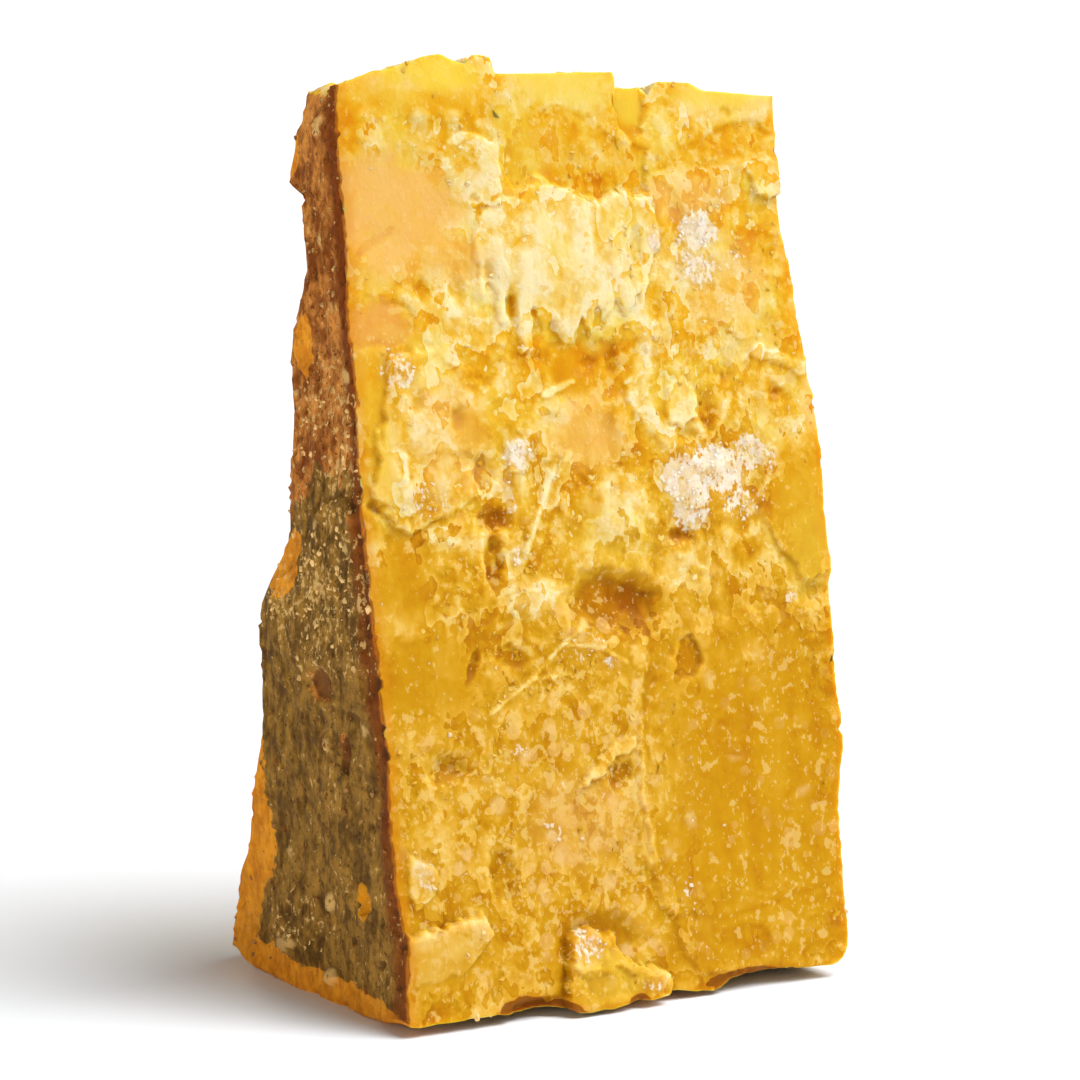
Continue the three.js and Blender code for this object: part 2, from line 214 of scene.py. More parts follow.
def slab_inside(points, across, up):
    """Distance inside a closed outline, negative outside it."""
    nearest = np.full(np.shape(across), 1e9)
    inside = np.zeros(np.shape(across), bool)
    for start, end in zip(points, points[1:] + points[:1]):
        nearest = np.minimum(nearest, segment_distance(across, up, start, end))
        if start[1] != end[1]:
            crosses = (start[1] > up) != (end[1] > up)
            place = start[0] + (up - start[1]) / (end[1] - start[1]) * (end[0] - start[0])
            inside ^= crosses & (across < place)
    return np.where(inside, nearest, -nearest)


def slab_height(slab, across, up):
    """Height of a slab, which may lean across and up."""
    middle = np.mean(slab.points, axis=0)
    size = np.ptp(slab.points, axis=0)
    slope = slab.lean[0] * (across - middle[0]) / size[0] + slab.lean[1] * (up - middle[1]) / size[1]
    return slab.rise * np.clip(1 + 2 * slope, 0, 2)


def add_forms(forms, across, up):
    """The relief of some forms in millimetres, and the tone that they give the paste, partly painted light
    and shade.
    """
    relief = np.zeros(np.shape(across))
    tone = np.zeros(np.shape(across))
    uneven = ragged(across, up)
    for form in forms:
        height = form.rise
        if isinstance(form, Dish):
            cover = dish_cover(form, across, up, uneven)
        elif isinstance(form, Slab):
            cover = ease(slab_inside(form.points, across, up) + uneven, 0, form.edge)
            height = slab_height(form, across, up)
        else:
            away = [segment_distance(across, up, *pair) for pair in zip(form.points, form.points[1:])]
            away = np.min(away, axis=0) + min(0.9, 0.35 * form.width) * uneven
            cover = 1 - ease(away, 0.4 * form.width, form.width)
        relief += height * cover
        tone += form.tone * cover
    return relief, tone


# %% Forms of the snapped tip
TIP_FORMS = [
    # the slot, the orange recess and its pits and lumps
    Slab([(68.4, 206), (68.4, 189), (70.5, 186), (72.5, 184), (75, 187), (76.3, 191), (76.6, 206)],
         -2.0, -0.18, 1.0, (0, 0.2)),
    Slab([(38.5, 175), (39, 183), (43, 190), (52, 193), (62, 190.5), (67.5, 185), (76, 183), (76, 173),
          (72, 172.5), (69, 174), (66, 173.5), (62, 171.5), (58, 173), (52, 175), (47, 176.8), (42, 173.5)],
         -1.7, -0.13, 1.0, (0, -0.7)),
    Dish(43, 177, 4.6, 3.6, 0, -0.5, -0.14, 0.7),
    Dish(62, 175.5, 5, 3.4, 0, -0.5, -0.14, 0.7),
    Dish(72.8, 176.5, 2.8, 4, 0, -0.5, -0.14, 0.7),
    Dish(60, 184, 3.4, 2.6, 0, 0.7, 0.16, 0.8),
    Dish(47, 188, 4.2, 2.8, 10, 0.7, 0.14, 0.8),
    # the orange band on the right, with the flake under it
    Slab([(76, 178), (84, 184), (92, 186.5), (100, 189.5), (106, 190.5), (109.5, 186), (107, 181),
          (100, 180), (94, 178.5), (86, 176.5)], -0.8, -0.16, 1.8, (0.2, 0.3)),
    Dish(97, 190.8, 2.2, 1.4, 0, -0.8, -0.18, 0.8),
    Slab([(100, 179.5), (101.5, 176), (103, 173), (111, 172), (112, 180), (104, 181)],
         1.5, 0.08, 0.8, (0.2, -0.7)),
    Dish(88, 191, 9, 5, 0, 0.3, 0.06, 0.7),
    # the swell, the lumps, the pale slab and the smooth plane on the left
    Dish(24, 194, 16, 9, 8, 1.6, -0.04, 0.8),
    Dish(27, 190, 3, 2, 0, 0.6, 0.18, 0.8),
    Dish(20, 190, 2.4, 1.8, 0, 0.5, 0.14, 0.8),
    Dish(36, 190.5, 2.5, 3, 0, -0.5, -0.08, 0.8),
    Slab([(25, 172), (23.5, 184), (28, 186.5), (38.8, 186), (39.2, 174), (36, 170)],
         1.1, 0.2, 1.0, (0.8, 0.2)),
    Dish(31, 172.5, 1.6, 1.4, 0, -0.9, -0.2, 0.8),
    Dish(11, 172, 17, 14, 12, -1.1, 0.0, 0.4),
    Ridge([(2, 161), (6, 163.5), (11, 166)], 1.2, -0.5, -0.16),
]
print(len(TIP_FORMS), "forms on the tip")

# %% Forms of the pale mass and what is round it
MASS_FORMS = [
    # the mass, its ledge, its hanging ridges and the gaps between them
    Dish(49, 160, 26, 19, -4, 1.6, 0.02, 0.95),
    Slab([(38, 174), (42, 173.5), (47, 176.8), (52, 175), (58, 173), (62, 171.5), (66, 173.5), (72, 172.5),
          (76, 173), (77, 166), (75, 158), (73, 152), (71, 147), (69.5, 151), (66.5, 146), (64, 151),
          (61.5, 146), (59, 150), (57, 143), (55, 147), (52.5, 140.5), (50, 139.5), (48, 146), (45.5, 142),
          (43, 150), (41.5, 141), (39.5, 140), (38, 151), (36.5, 143.5), (34.5, 143), (33, 154), (31, 147),
          (29.5, 148), (30, 160), (32, 170)], 1.3, 0.16, 0.7, (0.05, -0.1)),
    Ridge([(39.5, 141), (41, 150), (42, 160)], 2.2, 0.5, 0.12),
    Ridge([(35, 143), (36.5, 152), (35, 163)], 2.0, 0.4, 0.14),
    Ridge([(30.5, 146), (31, 154), (30.5, 164)], 1.8, 0.4, 0.12),
    Dish(32.8, 157.5, 1.9, 3.6, 0, -1.2, -0.22, 0.8),
    Dish(37.8, 150, 1.5, 4.6, 4, -1.2, -0.20, 0.8),
    Dish(25, 154, 3, 5.6, 10, -1.8, -0.26, 0.8),
    Dish(17, 153, 3.2, 2.8, 0, -1.2, -0.22, 0.8),
    # the hollow below it, and a sliver that stands in it
    Dish(54, 136, 13.5, 9.5, 4, -1.7, -0.1, 0.6),
    Dish(46, 143.5, 5, 4.5, 0, -1.0, -0.06, 0.7),
    Dish(44, 138.5, 2.8, 3.4, 0, -1.6, -0.20, 0.8),
    Dish(56.5, 137, 3.4, 3.4, 0, -1.4, -0.18, 0.8),
    Dish(62.5, 137, 2.4, 4, 0, -1.6, -0.20, 0.8),
    Ridge([(44.5, 130.6), (52, 133.2)], 0.9, 0.6, 0.42),
    # the winding ridge and the crumbly stretch on the right
    Ridge([(67, 152), (72, 143), (70, 138), (68, 130), (71, 124), (75, 120.5)], 3.4, 0.7, 0.26),
    Dish(70.7, 162, 2.6, 7, -4, -1.6, -0.24, 0.7),
    Dish(76, 163, 2.2, 3.4, 0, 0.9, 0.24, 0.8),
    Dish(64.5, 160, 2, 8, 0, 0.8, 0.06, 0.9),
    Dish(82, 168, 3.6, 4, 0, -1.1, -0.16, 0.8),
    Dish(88, 147, 15, 14, 0, 1.0, 0.02, 0.7),
    Dish(85.5, 126, 3.8, 6, 10, -1.9, -0.28, 0.7),
    Slab([(74, 124), (75.5, 131.5), (80, 133.5), (83.5, 130), (82.5, 124.5), (79, 122)], 1.0, 0.1, 0.9,
         (0, -0.5)),
    Dish(80, 120.5, 5, 2, 5, -1.2, -0.14, 0.8),
    Dish(92, 134, 4.4, 3, 20, -1.4, -0.16, 0.8),
    Dish(103, 143, 6, 3.6, -20, -0.8, -0.02, 0.7),
    Ridge([(100, 138), (105, 137), (111, 134.5)], 2.0, 1.0, 0.22),
    Dish(104, 129, 3, 2, 10, -1.2, -0.16, 0.8),
]
print(len(MASS_FORMS), "forms round the pale mass")

# %% Forms of the middle
MIDDLE_FORMS = [
    # the amber recess, the pale block with its pits, and the nook at its foot
    Slab([(-4, 152), (4, 154), (13, 152.5), (16, 147), (12, 142), (-4, 141)], -1.0, -0.08, 1.8, (0.5, 0.1)),
    Slab([(6.5, 140.5), (13, 141), (22, 143), (28, 136), (33, 122), (30, 110), (18, 107), (9, 103), (4, 106),
          (-0.5, 112), (2.5, 117), (3.2, 125), (6, 132)], 1.2, 0.08, 0.9, (-0.8, 0.15)),
    Dish(13, 131, 4.5, 4, 0, -1.2, -0.14, 0.9),
    Dish(22.5, 127, 3, 4, 0, -1.2, -0.15, 0.9),
    Dish(28, 115, 3.6, 5.4, 0, -1.8, -0.20, 0.8),
    Ridge([(8.2, 104), (8.6, 119)], 1.3, 0.3, 0.14),
    Dish(16, 113, 3.4, 3.2, 0, 0.6, 0.16, 0.8),
    Dish(2, 109, 3.2, 1.8, 0, -1.4, -0.40, 0.8),
    # the orange pit and the slanting ridges
    Dish(30, 105, 6, 3.6, -8, -2.0, -0.26, 0.8),
    Dish(29, 97, 2.8, 8, -6, -2.0, -0.28, 0.7),
    Ridge([(49, 118), (44, 112), (40, 104), (36, 96)], 1.1, 0.35, 0.2),
    Ridge([(45.5, 116), (41, 107), (37, 98)], 0.8, 0.3, 0.18),
    Slab([(33, 122), (40.5, 122), (39.5, 115), (34, 114.5)], 0.7, 0.20, 0.8, (0.3, -0.6)),
    Dish(62, 106, 12, 10, 15, 1.4, 0.10, 0.7),
    # the deep hollow, its sill, the smaller hollows and the plate on the right
    Dish(58, 86, 15.5, 8.4, -8, -3.2, -0.26, 0.55),
    Dish(61.5, 86, 8, 4.4, -20, -0.9, -0.2, 0.9),
    Dish(37, 88.5, 10, 5, 15, 1.0, 0.08, 0.8),
    Slab([(70, 69), (73, 77), (77, 79.5), (79, 74), (77, 66.5)], -1.2, -0.17, 1.2, (0.3, 0.3)),
    Dish(76, 99, 5, 2.6, 0, -1.4, -0.26, 0.8),
    Dish(84, 109, 14, 10, 18, 1.0, 0.0, 0.6),
    Slab([(99, 119), (119, 120), (119, 87.3), (105.5, 87), (105, 91), (102.5, 94), (100, 97), (97, 106)],
         0.9, -0.09, 1.2, (0.1, -0.7)),
    Dish(110, 84.5, 7, 3, 0, -1.2, -0.08, 0.8),
    Dish(21.5, 75, 1.5, 4.4, -24, -0.9, -0.2, 0.6),
    Dish(31, 76, 5, 3.2, -20, -0.8, -0.13, 0.6),
    Ridge([(25, 65), (34, 70), (44, 78), (50, 82)], 0.7, 0.35, 0.22),
    Ridge([(36, 71), (45, 71.5)], 0.6, 0.3, 0.18),
    Ridge([(44, 78), (54, 76.5), (59, 73)], 0.6, 0.3, 0.18),
    Ridge([(63, 75), (61, 66), (60, 58), (59.5, 45), (61, 30)], 1.8, 0.3, 0.14),
]
print(len(MIDDLE_FORMS), "forms in the middle")

# %% Forms of the foot
FOOT_FORMS = [
    # the knife-cut plane on the right, the blade-like ledge and its nook
    Slab([(60, 61), (59, 45), (60.5, 28), (62, 22), (64, 18), (70, 4), (118, 2), (120, 84), (78, 82),
          (66, 70)], 0.8, -0.04, 1.6, (-0.6, 0)),
    Slab([(43, 46.8), (50, 49), (59.5, 54.4), (60.5, 58), (54, 57), (47, 51.5)], 1.3, 0.10, 0.7, (0.3, -0.8)),
    Dish(55.5, 49.3, 4.8, 3.6, 20, -1.2, -0.24, 0.8),
    # the shallow hollows, the flake and the facet on the left
    Dish(13, 54.3, 8, 4.6, 0, -2.2, -0.06, 0.9),
    Dish(24.5, 32, 4.4, 8, 6, -1.4, -0.14, 0.6),
    Slab([(1.5, 38.5), (9.5, 36), (8, 30), (3, 26), (1, 30)], 0.8, 0.20, 0.8, (0, 0)),
    Slab([(-4, 21), (8, 22.6), (19, 24.8), (20.5, 20), (13, 11), (-4, 9)], 1.8, 0.10, 0.8, (0, 0.9)),
    Dish(11, 17.5, 8, 3.4, 12, 0.3, 0.10, 0.9),
    # the arch over a broken chunk, and the crevices of the foot
    Dish(47, 15.8, 13.5, 6.8, -4, -2.7, 0.02, 0.7),
    Slab([(37, 12), (39, 16.6), (44, 18.2), (50, 16), (53, 11.5), (62.5, 7), (62, 0), (45, -3), (37.5, -1),
          (36.5, 6)], 3.2, -0.04, 0.7, (0, -0.1)),
    Slab([(37, 11), (39, 16), (44, 18), (49, 15.5), (48, 11.5), (42, 9.5)], 0.9, 0.08, 0.7, (-0.4, 0.3)),
    Slab([(40, 8.5), (50, 10), (56, 8), (52, 3.5), (43, 3)], -0.8, -0.06, 1.4, (0.5, 0.6)),
    Slab([(54, 8.5), (62, 7), (61, 3.5), (56, 4.5)], 0.6, 0.1, 0.7, (0.4, 0.4)),
    Dish(30, 3, 8, 2.6, 4, -3.0, -0.34, 0.8),
    Dish(53.5, 1.4, 2.6, 1.6, 0, -1.4, -0.34, 0.8),
    Dish(90, 1, 15, 5, -3, -2.2, -0.12, 0.8),
]
FRONT_FORMS = TIP_FORMS + MASS_FORMS + MIDDLE_FORMS + FOOT_FORMS
print(len(FOOT_FORMS), "forms on the foot,", len(FRONT_FORMS), "on the front cut")

# %% [markdown]
# ## Calm, pale and chalky places
# A clean knife cut or a clean cleavage is smooth, and the rest is torn. Crystals of an amino acid gather
# in the paste while it ages, so some places are chalky white and others carry single round spots. The tip
# is thin and lets light through, so it is lemon yellow, and clean planes look peach. All are lists of
# ovals: middle across and up, half sizes, and a strength. They steer roughness and colour, not form.

# %% Calm stretches, tones and crystals of the front
CALM = [
    (90, 44, 31, 42), (109, 103, 11, 17), (10, 171, 20, 15), (3, 130, 4, 28), (11, 74, 13, 11),
    (6, 92, 8, 12), (9, 15, 11, 7), (54, 197, 17, 5), (20, 195, 24, 7), (55, 121, 9, 8), (95, 194, 18, 5),
    (7, 147, 8, 6), (72, 192, 4, 7), (52, 161, 24, 14, 0.45), (59, 87, 14, 8), (54, 136, 12, 7, 0.8),
    (47, 16, 12, 6, 0.8), (57, 182, 18, 8, 0.5), (25.4, 124, 6, 6, 0.8),
]
KNIFE_MARKS = [(95, 17, 18, 9), (92, 74, 14, 8, 0.5), (104, 60, 8, 20, 0.3)]
FOOT_CRUST = [(27, 3.5, 8, 4), (36, 2, 4, 3), (54, 1.5, 3, 2.5), (84, 3, 11, 3)]
FIBRES = [(52, 160, 26, 20), (70, 138, 9, 20), (40, 108, 12, 14), (56, 120, 12, 10), (88, 160, 12, 14, 0.5)]
TONES = [
    (50, 160, 38, 28, 0.08), (55, 196, 16, 5, 0.12), (94, 193, 17, 4, 0.12), (20, 193, 18, 3.5, -0.12),
    (3, 178, 4, 30, -0.06), (6, 189, 7, 6, -0.08), (40, 168, 12, 8, 0.06),
    (88, 156, 12, 7, 0.10), (80, 187, 7, 7, 0.08), (92, 173, 14, 5, -0.02), (99, 160, 10, 14, -0.04),
    (106, 150, 8, 20, -0.08), (60, 108, 12, 8, 0.08), (12, 118, 8, 14, 0.05), (6, 147, 9, 6, -0.32),
    (2, 125, 3.5, 18, -0.14), (11, 94, 12, 10, -0.14), (12, 74, 14, 10, -0.06), (108, 104, 12, 17, -0.08),
    (96, 40, 24, 40, -0.03), (40, 60, 16, 10, 0.04), (66, 49, 6, 9, 0.10), (10, 45, 9, 5, 0.10),
    (50, 70, 14, 8, 0.04), (78, 92, 8, 6, 0.10), (35.5, 98, 2.4, 6, 0.2), (50, 97, 12, 5, 0.06),
    (96, 96, 5, 6, -0.06), (108, 70, 8, 14, -0.04), (45, 30, 14, 16, 0.03), (36, 88, 8, 5, 0.11),
    (25.4, 124, 6, 6, -0.34), (54, 196, 15, 4, 0.06), (55, 184, 15, 5, 0.05), (57, 176.5, 19, 2.6, -0.14),
    # Painted shade: the deeper tones at 44 to 64 across and 135 to 146 up darken the paste under the pale
    # mass's hanging ridges.
    (44.5, 140.5, 4.5, 4, -0.2), (57, 140.5, 6, 4, -0.22), (64, 139, 3.5, 6, -0.2),
    (9, 136.5, 5, 4.5, 0.04), (61, 145, 10, 3.4, -0.14), (8, 37, 7, 7, 0.2), (54, 135.5, 9, 5, -0.16),
    (16, 36, 9, 8, 0.1), (51, 164, 10, 6, 0.05), (43.5, 151, 10, 6, -0.06),
]
CHALK = [
    (79, 109, 8, 10, 1.0), (86, 113, 10, 7, 0.9), (96, 116, 8, 5, 0.7), (93, 105, 8, 5, 0.55),
    (101, 114, 3, 4, 0.5), (87, 165, 6.5, 6, 1.0), (76, 163, 2.4, 3.6, 0.8), (86, 157, 7, 5, 0.75),
    (96, 158, 5, 3, 0.4), (6, 33, 3.5, 5.5, 0.55), (36.5, 118.5, 5, 4.4, 0.8),
    (14, 111, 7, 6, 0.45), (34, 110, 2, 6, 0.5), (12, 111, 5, 4, 0.3),
    (43, 14.5, 5, 4, 0.65), (57.5, 5, 4.5, 2.5, 0.6), (55, 73, 3, 2, 0.85), (31, 56, 3.5, 2.5, 0.55),
    (38, 39, 3, 3, 0.6), (72, 16, 4, 10, 0.3), (70, 23.5, 2.6, 2.6, 0.6), (52, 45, 3, 2, 0.4),
    (34.5, 97, 1.8, 3.4, 0.6), (9, 137, 5, 4, 0.62), (7, 131, 1.6, 7, 0.35),
    (49, 78, 8, 5, 0.3), (45, 40, 14, 12, 0.16),
    (97, 73, 6, 6, 0.22), (103, 84, 2.5, 2, 0.7), (94, 172, 3, 2.5, 0.4), (73, 45, 5, 12, 0.2),
]
LEMON = [
    (55, 197, 17, 6, 0.9), (24, 199, 16, 5, 1.0), (72.5, 193, 4, 6, 0.9), (95, 195, 16, 3.5, 0.8),
    (80, 187, 7, 6, 0.5), (68, 166, 7, 7, 0.4), (110, 95, 9, 14, 0.4), (60, 99, 14, 8, 0.3),
    (49, 7, 12, 7, 0.4),
]
PEACH = [
    (10, 170, 22, 15, 1.0), (24, 160, 12, 8, 0.6), (86, 172, 12, 6, 0.6), (54, 122, 12, 9, 0.6),
    (20, 122, 12, 16, 0.4), (45, 40, 14, 12, 0.35), (95, 150, 12, 14, 0.35), (6, 147, 9, 6, 0.6),
]
SPECKLED = [
    (45, 40, 34, 44, 1.0), (10, 40, 14, 40, 0.7), (90, 44, 31, 44, 0.95), (88, 140, 24, 28, 0.6),
    (50, 104, 60, 26, 0.5), (55, 125, 16, 14, 0.9), (52, 84, 12, 10, 0.9), (55, 165, 70, 50, 0.25),
]
print(len(CALM), "calm stretches,", len(TONES), "tones,", len(CHALK), "chalky patches")

# %% Round crystal spots of the front
SPOTS = [
    (24.5, 45.5, 2.2), (32, 55, 1.7), (37, 38, 1.6), (53, 44, 1.7), (48, 35.5, 1.7), (34, 25.5, 1.5),
    (54, 12, 1.5), (33.5, 13.5, 1.1), (39, 60, 1.2), (85, 51, 1.3), (102, 42, 1.2), (50.5, 27, 2.0),
    (38.5, 33.5, 1.7), (65.5, 32, 1.3), (72, 38, 1.6), (14, 33.5, 1.5), (16, 36, 1.3), (19, 9, 1.0),
    (44, 33, 1.0), (60, 13, 1.3), (47, 48, 0.9), (28, 49, 0.9), (36, 45, 1.1), (93, 60, 1.0),
    (80, 68, 1.1), (98, 30, 1.0), (61, 68, 1.2), (40, 66, 1.3), (42, 57, 0.9), (22, 60, 0.9),
]


def spots(places, across, up):
    """Round crystal spots with a fairly sharp edge."""
    cover = np.zeros(np.shape(across))
    for middle, height, radius in places:
        away = np.hypot(across - middle, up - height) + 0.22 * waves(across / 0.9, up / 0.9, 33)
        cover = np.maximum(cover, 1 - ease(away, 0.7 * radius, radius))
    return cover


def patches(places, across, up):
    """Each oval's cover with uneven edges, one after the other, times its strength."""
    uneven = 0.26 * layered(across / 6, up / 6, 31) + 0.12 * waves(across / 1.3, up / 1.3, 32)
    for middle, height, half_across, half_up, *strength in places:
        away = np.hypot((across - middle) / half_across, (up - height) / half_up) + uneven
        yield (strength or [1.0])[0] * (1 - ease(away, 0.5, 1.1))


def strongest(places, across, up):
    """The strongest of some ovals at each point."""
    return np.maximum.reduce(list(patches(places, across, up)))


print(len(SPOTS), "crystal spots")

# %% [markdown]
# ## Surfaces
# Each side of the wedge is a height over a plain face: the two cuts are depths, the rinds are places
# across, and the rim and the tip are heights. Every side is worked out on its own grid, and neighbouring
# sides take their shared edge from the same function, so the skin closes without sewing.


# %% Torn curd
def along(outline, place):
    """The value along an outline, eased from each point to the next."""
    value = np.full(np.shape(place), float(outline[0][1]))
    for (start, low), (end, high) in zip(outline, outline[1:]):
        value = np.where(place >= start, lerp(low, high, ease(place, start, end)), value)
    return value


def torn(across, up, seed):
    """The relief of torn curd in millimetres, and its shading: painted light on pale lips, painted shade
    below them.
    """
    bent_across = across + 2.4 * layered(across / 8, up / 8, seed)
    bent_up = up + 2.4 * layered(across / 8, up / 8, seed + 1)
    slow = layered(across / 16, up / 16, seed + 2, 2)
    plates, plate_lip = terraces(bent_across / 15, bent_up / 12, seed + 3, 2.2)
    leaves, leaf_lip = terraces(bent_across / 7, bent_up / 6, seed + 4, 2.0)
    facets, shade = grains(bent_across / 5.5, bent_up / 5.0, seed + 5)
    small, small_shade = grains(bent_across / 2.6, bent_up / 2.3, seed + 6)
    chips = ease(layered(bent_across / 2.4, bent_up / 2.0, seed + 7, 3), 0.2, 0.42)
    grit = waves(across / 0.9, up / 0.9, seed + 8)
    relief = 0.4 * slow + 0.8 * plates + 0.4 * leaves + 0.2 * facets
    relief = relief + 0.06 * small + 0.1 * chips + 0.03 * grit
    shading = 0.24 * (plate_lip - 0.5) + 0.2 * (leaf_lip - 0.5) + 0.08 * plates
    shading = shading + 0.2 * shade + 0.08 * small_shade + 0.06 * (chips - 0.25)
    return relief, shading


# %% The two cuts
BASE_TONE = 0.46
# Painted light: the paste grows paler upwards, where more light falls on it and passes through it.
UPPER_LIGHT_TONE = 0.16


def front_cut(across, up):
    """Relief of the front cut, how pale its paste is, and how calm it is."""
    forms, tone = add_forms(FRONT_FORMS, across, up)
    calm = strongest(CALM, across, up)
    rough = lerp(1.0, 0.16, calm) * ease(across, -2, 4) * ease(WHEEL_THICKNESS + 4 - across, 0, 6)
    rough = rough * lerp(0.3, 0.8, ease(up, 55, 110)) * lerp(1.0, 0.6, ease(up, 120, 175))
    relief, shading = torn(across, up, 21)
    tone = tone + BASE_TONE + UPPER_LIGHT_TONE * ease(up, 50, 150) + sum(patches(TONES, across, up))
    tone = tone + lerp(0.4, 0.25, calm) * shading + 0.1 * calm * layered(across / 2.2, up / 26, 29, 3)
    fibres = strongest(FIBRES, across, up) * layered(across / 2.4, up / 11, 27, 3)
    marks = strongest(KNIFE_MARKS, across, up) * layered(across / 26, (up - 0.12 * across) / 0.9, 28, 2)
    shallower = lerp(1.0, 0.75, ease(up, 100, 135))  # hollows, towards the tip
    forms = lerp(0.85, 0.65, ease(up, 110, 150)) * np.maximum(forms, shallower * forms)
    relief = forms + rough * relief + 0.3 * fibres + 0.08 * marks
    return relief, tone + 0.18 * fibres + 0.08 * marks, calm


BACK_FORM_COUNT = 26
BACK_COLUMNS, BACK_ROWS = 3, 9
BACK_FORM_REACH = 190


def back_forms():
    """Flakes and hollows of the back cut, spread evenly over it by the solid's own draws."""
    forms = []
    for index in range(BACK_FORM_COUNT):
        own = [float(draw(index, kind, 71)[0]) for kind in range(8)]
        middle = (index % BACK_COLUMNS + 0.2 + 0.6 * own[1]) * WHEEL_THICKNESS / BACK_COLUMNS
        height = (index // BACK_COLUMNS + own[2]) * BACK_FORM_REACH / BACK_ROWS
        rise = 3.2 * (1.7 * own[6] - 0.9)
        size = lerp(5, 13, own[3]), lerp(5, 13, own[4])
        edge = lerp(0.6, 0.95, own[7])
        forms.append(Dish(middle, height, *size, 180 * own[5], 0.8 * rise, 0.06 * rise, edge))
    return forms


BACK_FORMS = back_forms()
BACK_CALM = [(78, 60, 34, 52), (30, 150, 22, 26), (92, 160, 18, 20), (20, 40, 14, 24)]


def back_cut(across, up):
    """Relief of the back cut, how pale its paste is, and how calm it is."""
    forms, tone = add_forms(BACK_FORMS, across, up)
    calm = strongest(BACK_CALM, across, up)
    relief, shading = torn(across, up, 41)
    tone = tone + BASE_TONE + UPPER_LIGHT_TONE * ease(up, 50, 150) + lerp(1.1, 0.5, calm) * shading
    return ease(across, 0, 12) * (forms + lerp(1.1, 0.25, calm) * relief), tone, calm


def back_plane(across, up):
    """Depth of the back cut without its relief: near the left rind it follows that rind's uneven edge."""
    clean = HEEL_DEPTH / 2 - CUT_SLOPE * up
    rind_edge = along(BACK_EDGE_OUTLINE, up) - HEEL_DEPTH / 2
    bent = across + 14 * waves(across / 30, up / 30, 45)
    return lerp(clean, rind_edge, 1 - ease(np.minimum(across, bent), 0, BACK_EDGE_REACH))


print(len(BACK_FORMS), "forms on the back cut")

# %% The rinds
LEFT_RIND_FORMS = [
    Dish(38, 69.5, 8, 4.5, 0, -1.6, 0, 0.5),
    Dish(29, 55, 3, 5, 10, -1.8, 0, 0.5),
    Dish(21.5, 25, 4.5, 3, 0, -1.5, 0, 0.6),
    Dish(37, 57, 1.8, 1.4, 20, 0.9, 0, 0.5),
    Dish(37, 22, 2.0, 2.6, 0, 1.1, 0, 0.5),
    Dish(36, 5.5, 2.6, 2.2, 0, 1.2, 0, 0.5),
    Dish(56, 9, 3.0, 1.8, -20, 0.8, 0, 0.5),
    Dish(28, 136, 2.2, 2.6, 0, 0.9, 0, 0.5),
    Dish(40, 188, 2.6, 2.2, 0, 0.9, 0, 0.5),
    Slab([(16, 64), (20, 104), (26, 112), (48, 106), (62, 88), (66, 70), (50, 62), (30, 66)],
         0.9, 0, 1.2, (0, 0.2)),
]


def rind_crust(behind, up, seed):
    """A dry rind's crust in millimetres: scaling layers, lumps, crumbs and pinholes."""
    bent = behind + 1.5 * layered(behind / 6, up / 6, seed)
    scales, _ = terraces(bent / 8, up / 11, seed + 1, 2.4)
    lumps, _ = grains(bent / 2.6, up / 2.2, seed + 2)
    crumbs = ease(layered(bent / 1.9, up / 1.7, seed + 3, 3), 0.25, 0.45)
    holes = ease(layered(bent / 2.4, up / 3.2, seed + 4, 2), 0.42, 0.62)
    grooves = layered(bent / 2.6, up / 20, seed + 5, 3)
    return 0.5 * scales + 0.2 * lumps + 0.22 * crumbs + 0.45 * grooves - 0.7 * holes


def left_rind(behind, up):
    """Place of the left rind across the wedge, and its relief."""
    swell = LEFT_RIND_SWELL * np.sin(math.pi * np.clip(up / TALLEST, 0, 1))
    slow = 0.9 * waves(behind / 17, up / 17, 51)
    forms, _ = add_forms(LEFT_RIND_FORMS, behind, up)
    relief = forms + rind_crust(behind, up, 210)
    return -swell - slow - relief, relief


def right_rind(behind, up):
    """Place of the right rind across the wedge, and its relief."""
    past_edge = np.maximum(0, behind - CUT_SLOPE * up)
    bent_up = up + 0.6 * past_edge * waves(past_edge / 22, up / 60, 62)
    slow = 0.9 * waves(behind / 17, up / 17, 61)
    relief = rind_crust(behind, up, 310)
    return WHEEL_THICKNESS + along(RIGHT_RIND_OUTLINE, bent_up) + slow + relief, relief


# %% The rim and the tip
TIP_DEPTH = HEEL_DEPTH - 2 * CUT_SLOPE * TALLEST


def corner_lift(radius, from_rind):
    in_corner = np.clip(radius - from_rind, 0, radius)
    return radius - np.sqrt(radius**2 - in_corner**2)


def rim(across, depth):
    """Height of the rim: curved, rounded to the rinds, chipped in front, and flat where it stands."""
    curve = WHEEL_RADIUS - np.sqrt(WHEEL_RADIUS**2 - depth**2) - FLAT_SPOT_SAG
    behind_foot = ease(depth + HEEL_DEPTH / 2, 0, FOOT_REACH)
    chipped = along(FOOT_OUTLINE, across) + 0.4 * layered(across / 3, 0 * across, 71)
    edge = lerp(chipped, curve, behind_foot)
    left = corner_lift(LEFT_RIM_CORNER, across)
    right = corner_lift(RIGHT_RIM_CORNER, WHEEL_THICKNESS - across)
    return np.maximum(0, edge + left + right)


def tip(across, behind):
    """Height of the snapped tip, rough where it broke."""
    place = across + 0.25 * behind + 0.7 * waves(across / 3, behind / 3, 81)
    plates, _ = terraces(across / 9, behind / 6, 82, 2.0)
    lumps, _ = grains(across / 3, behind / 2.6, 83)
    rough = ease(behind, 0, 3) * (1.2 * plates + 0.45 * lumps)
    return along(TIP_OUTLINE, place) - TIP_FALL * behind + rough


print("tip's depth:", round(TIP_DEPTH, 1), "mm")

# %% [markdown]
# ## The skin
# A box of grid points is pressed into the wedge. Only its outer points are used, and each is numbered
# once, so every edge and corner is shared. The grid is finest across and up the front, and is thinned
# afterwards where it is flat, which leaves the triangles for the lips and grains that need them.

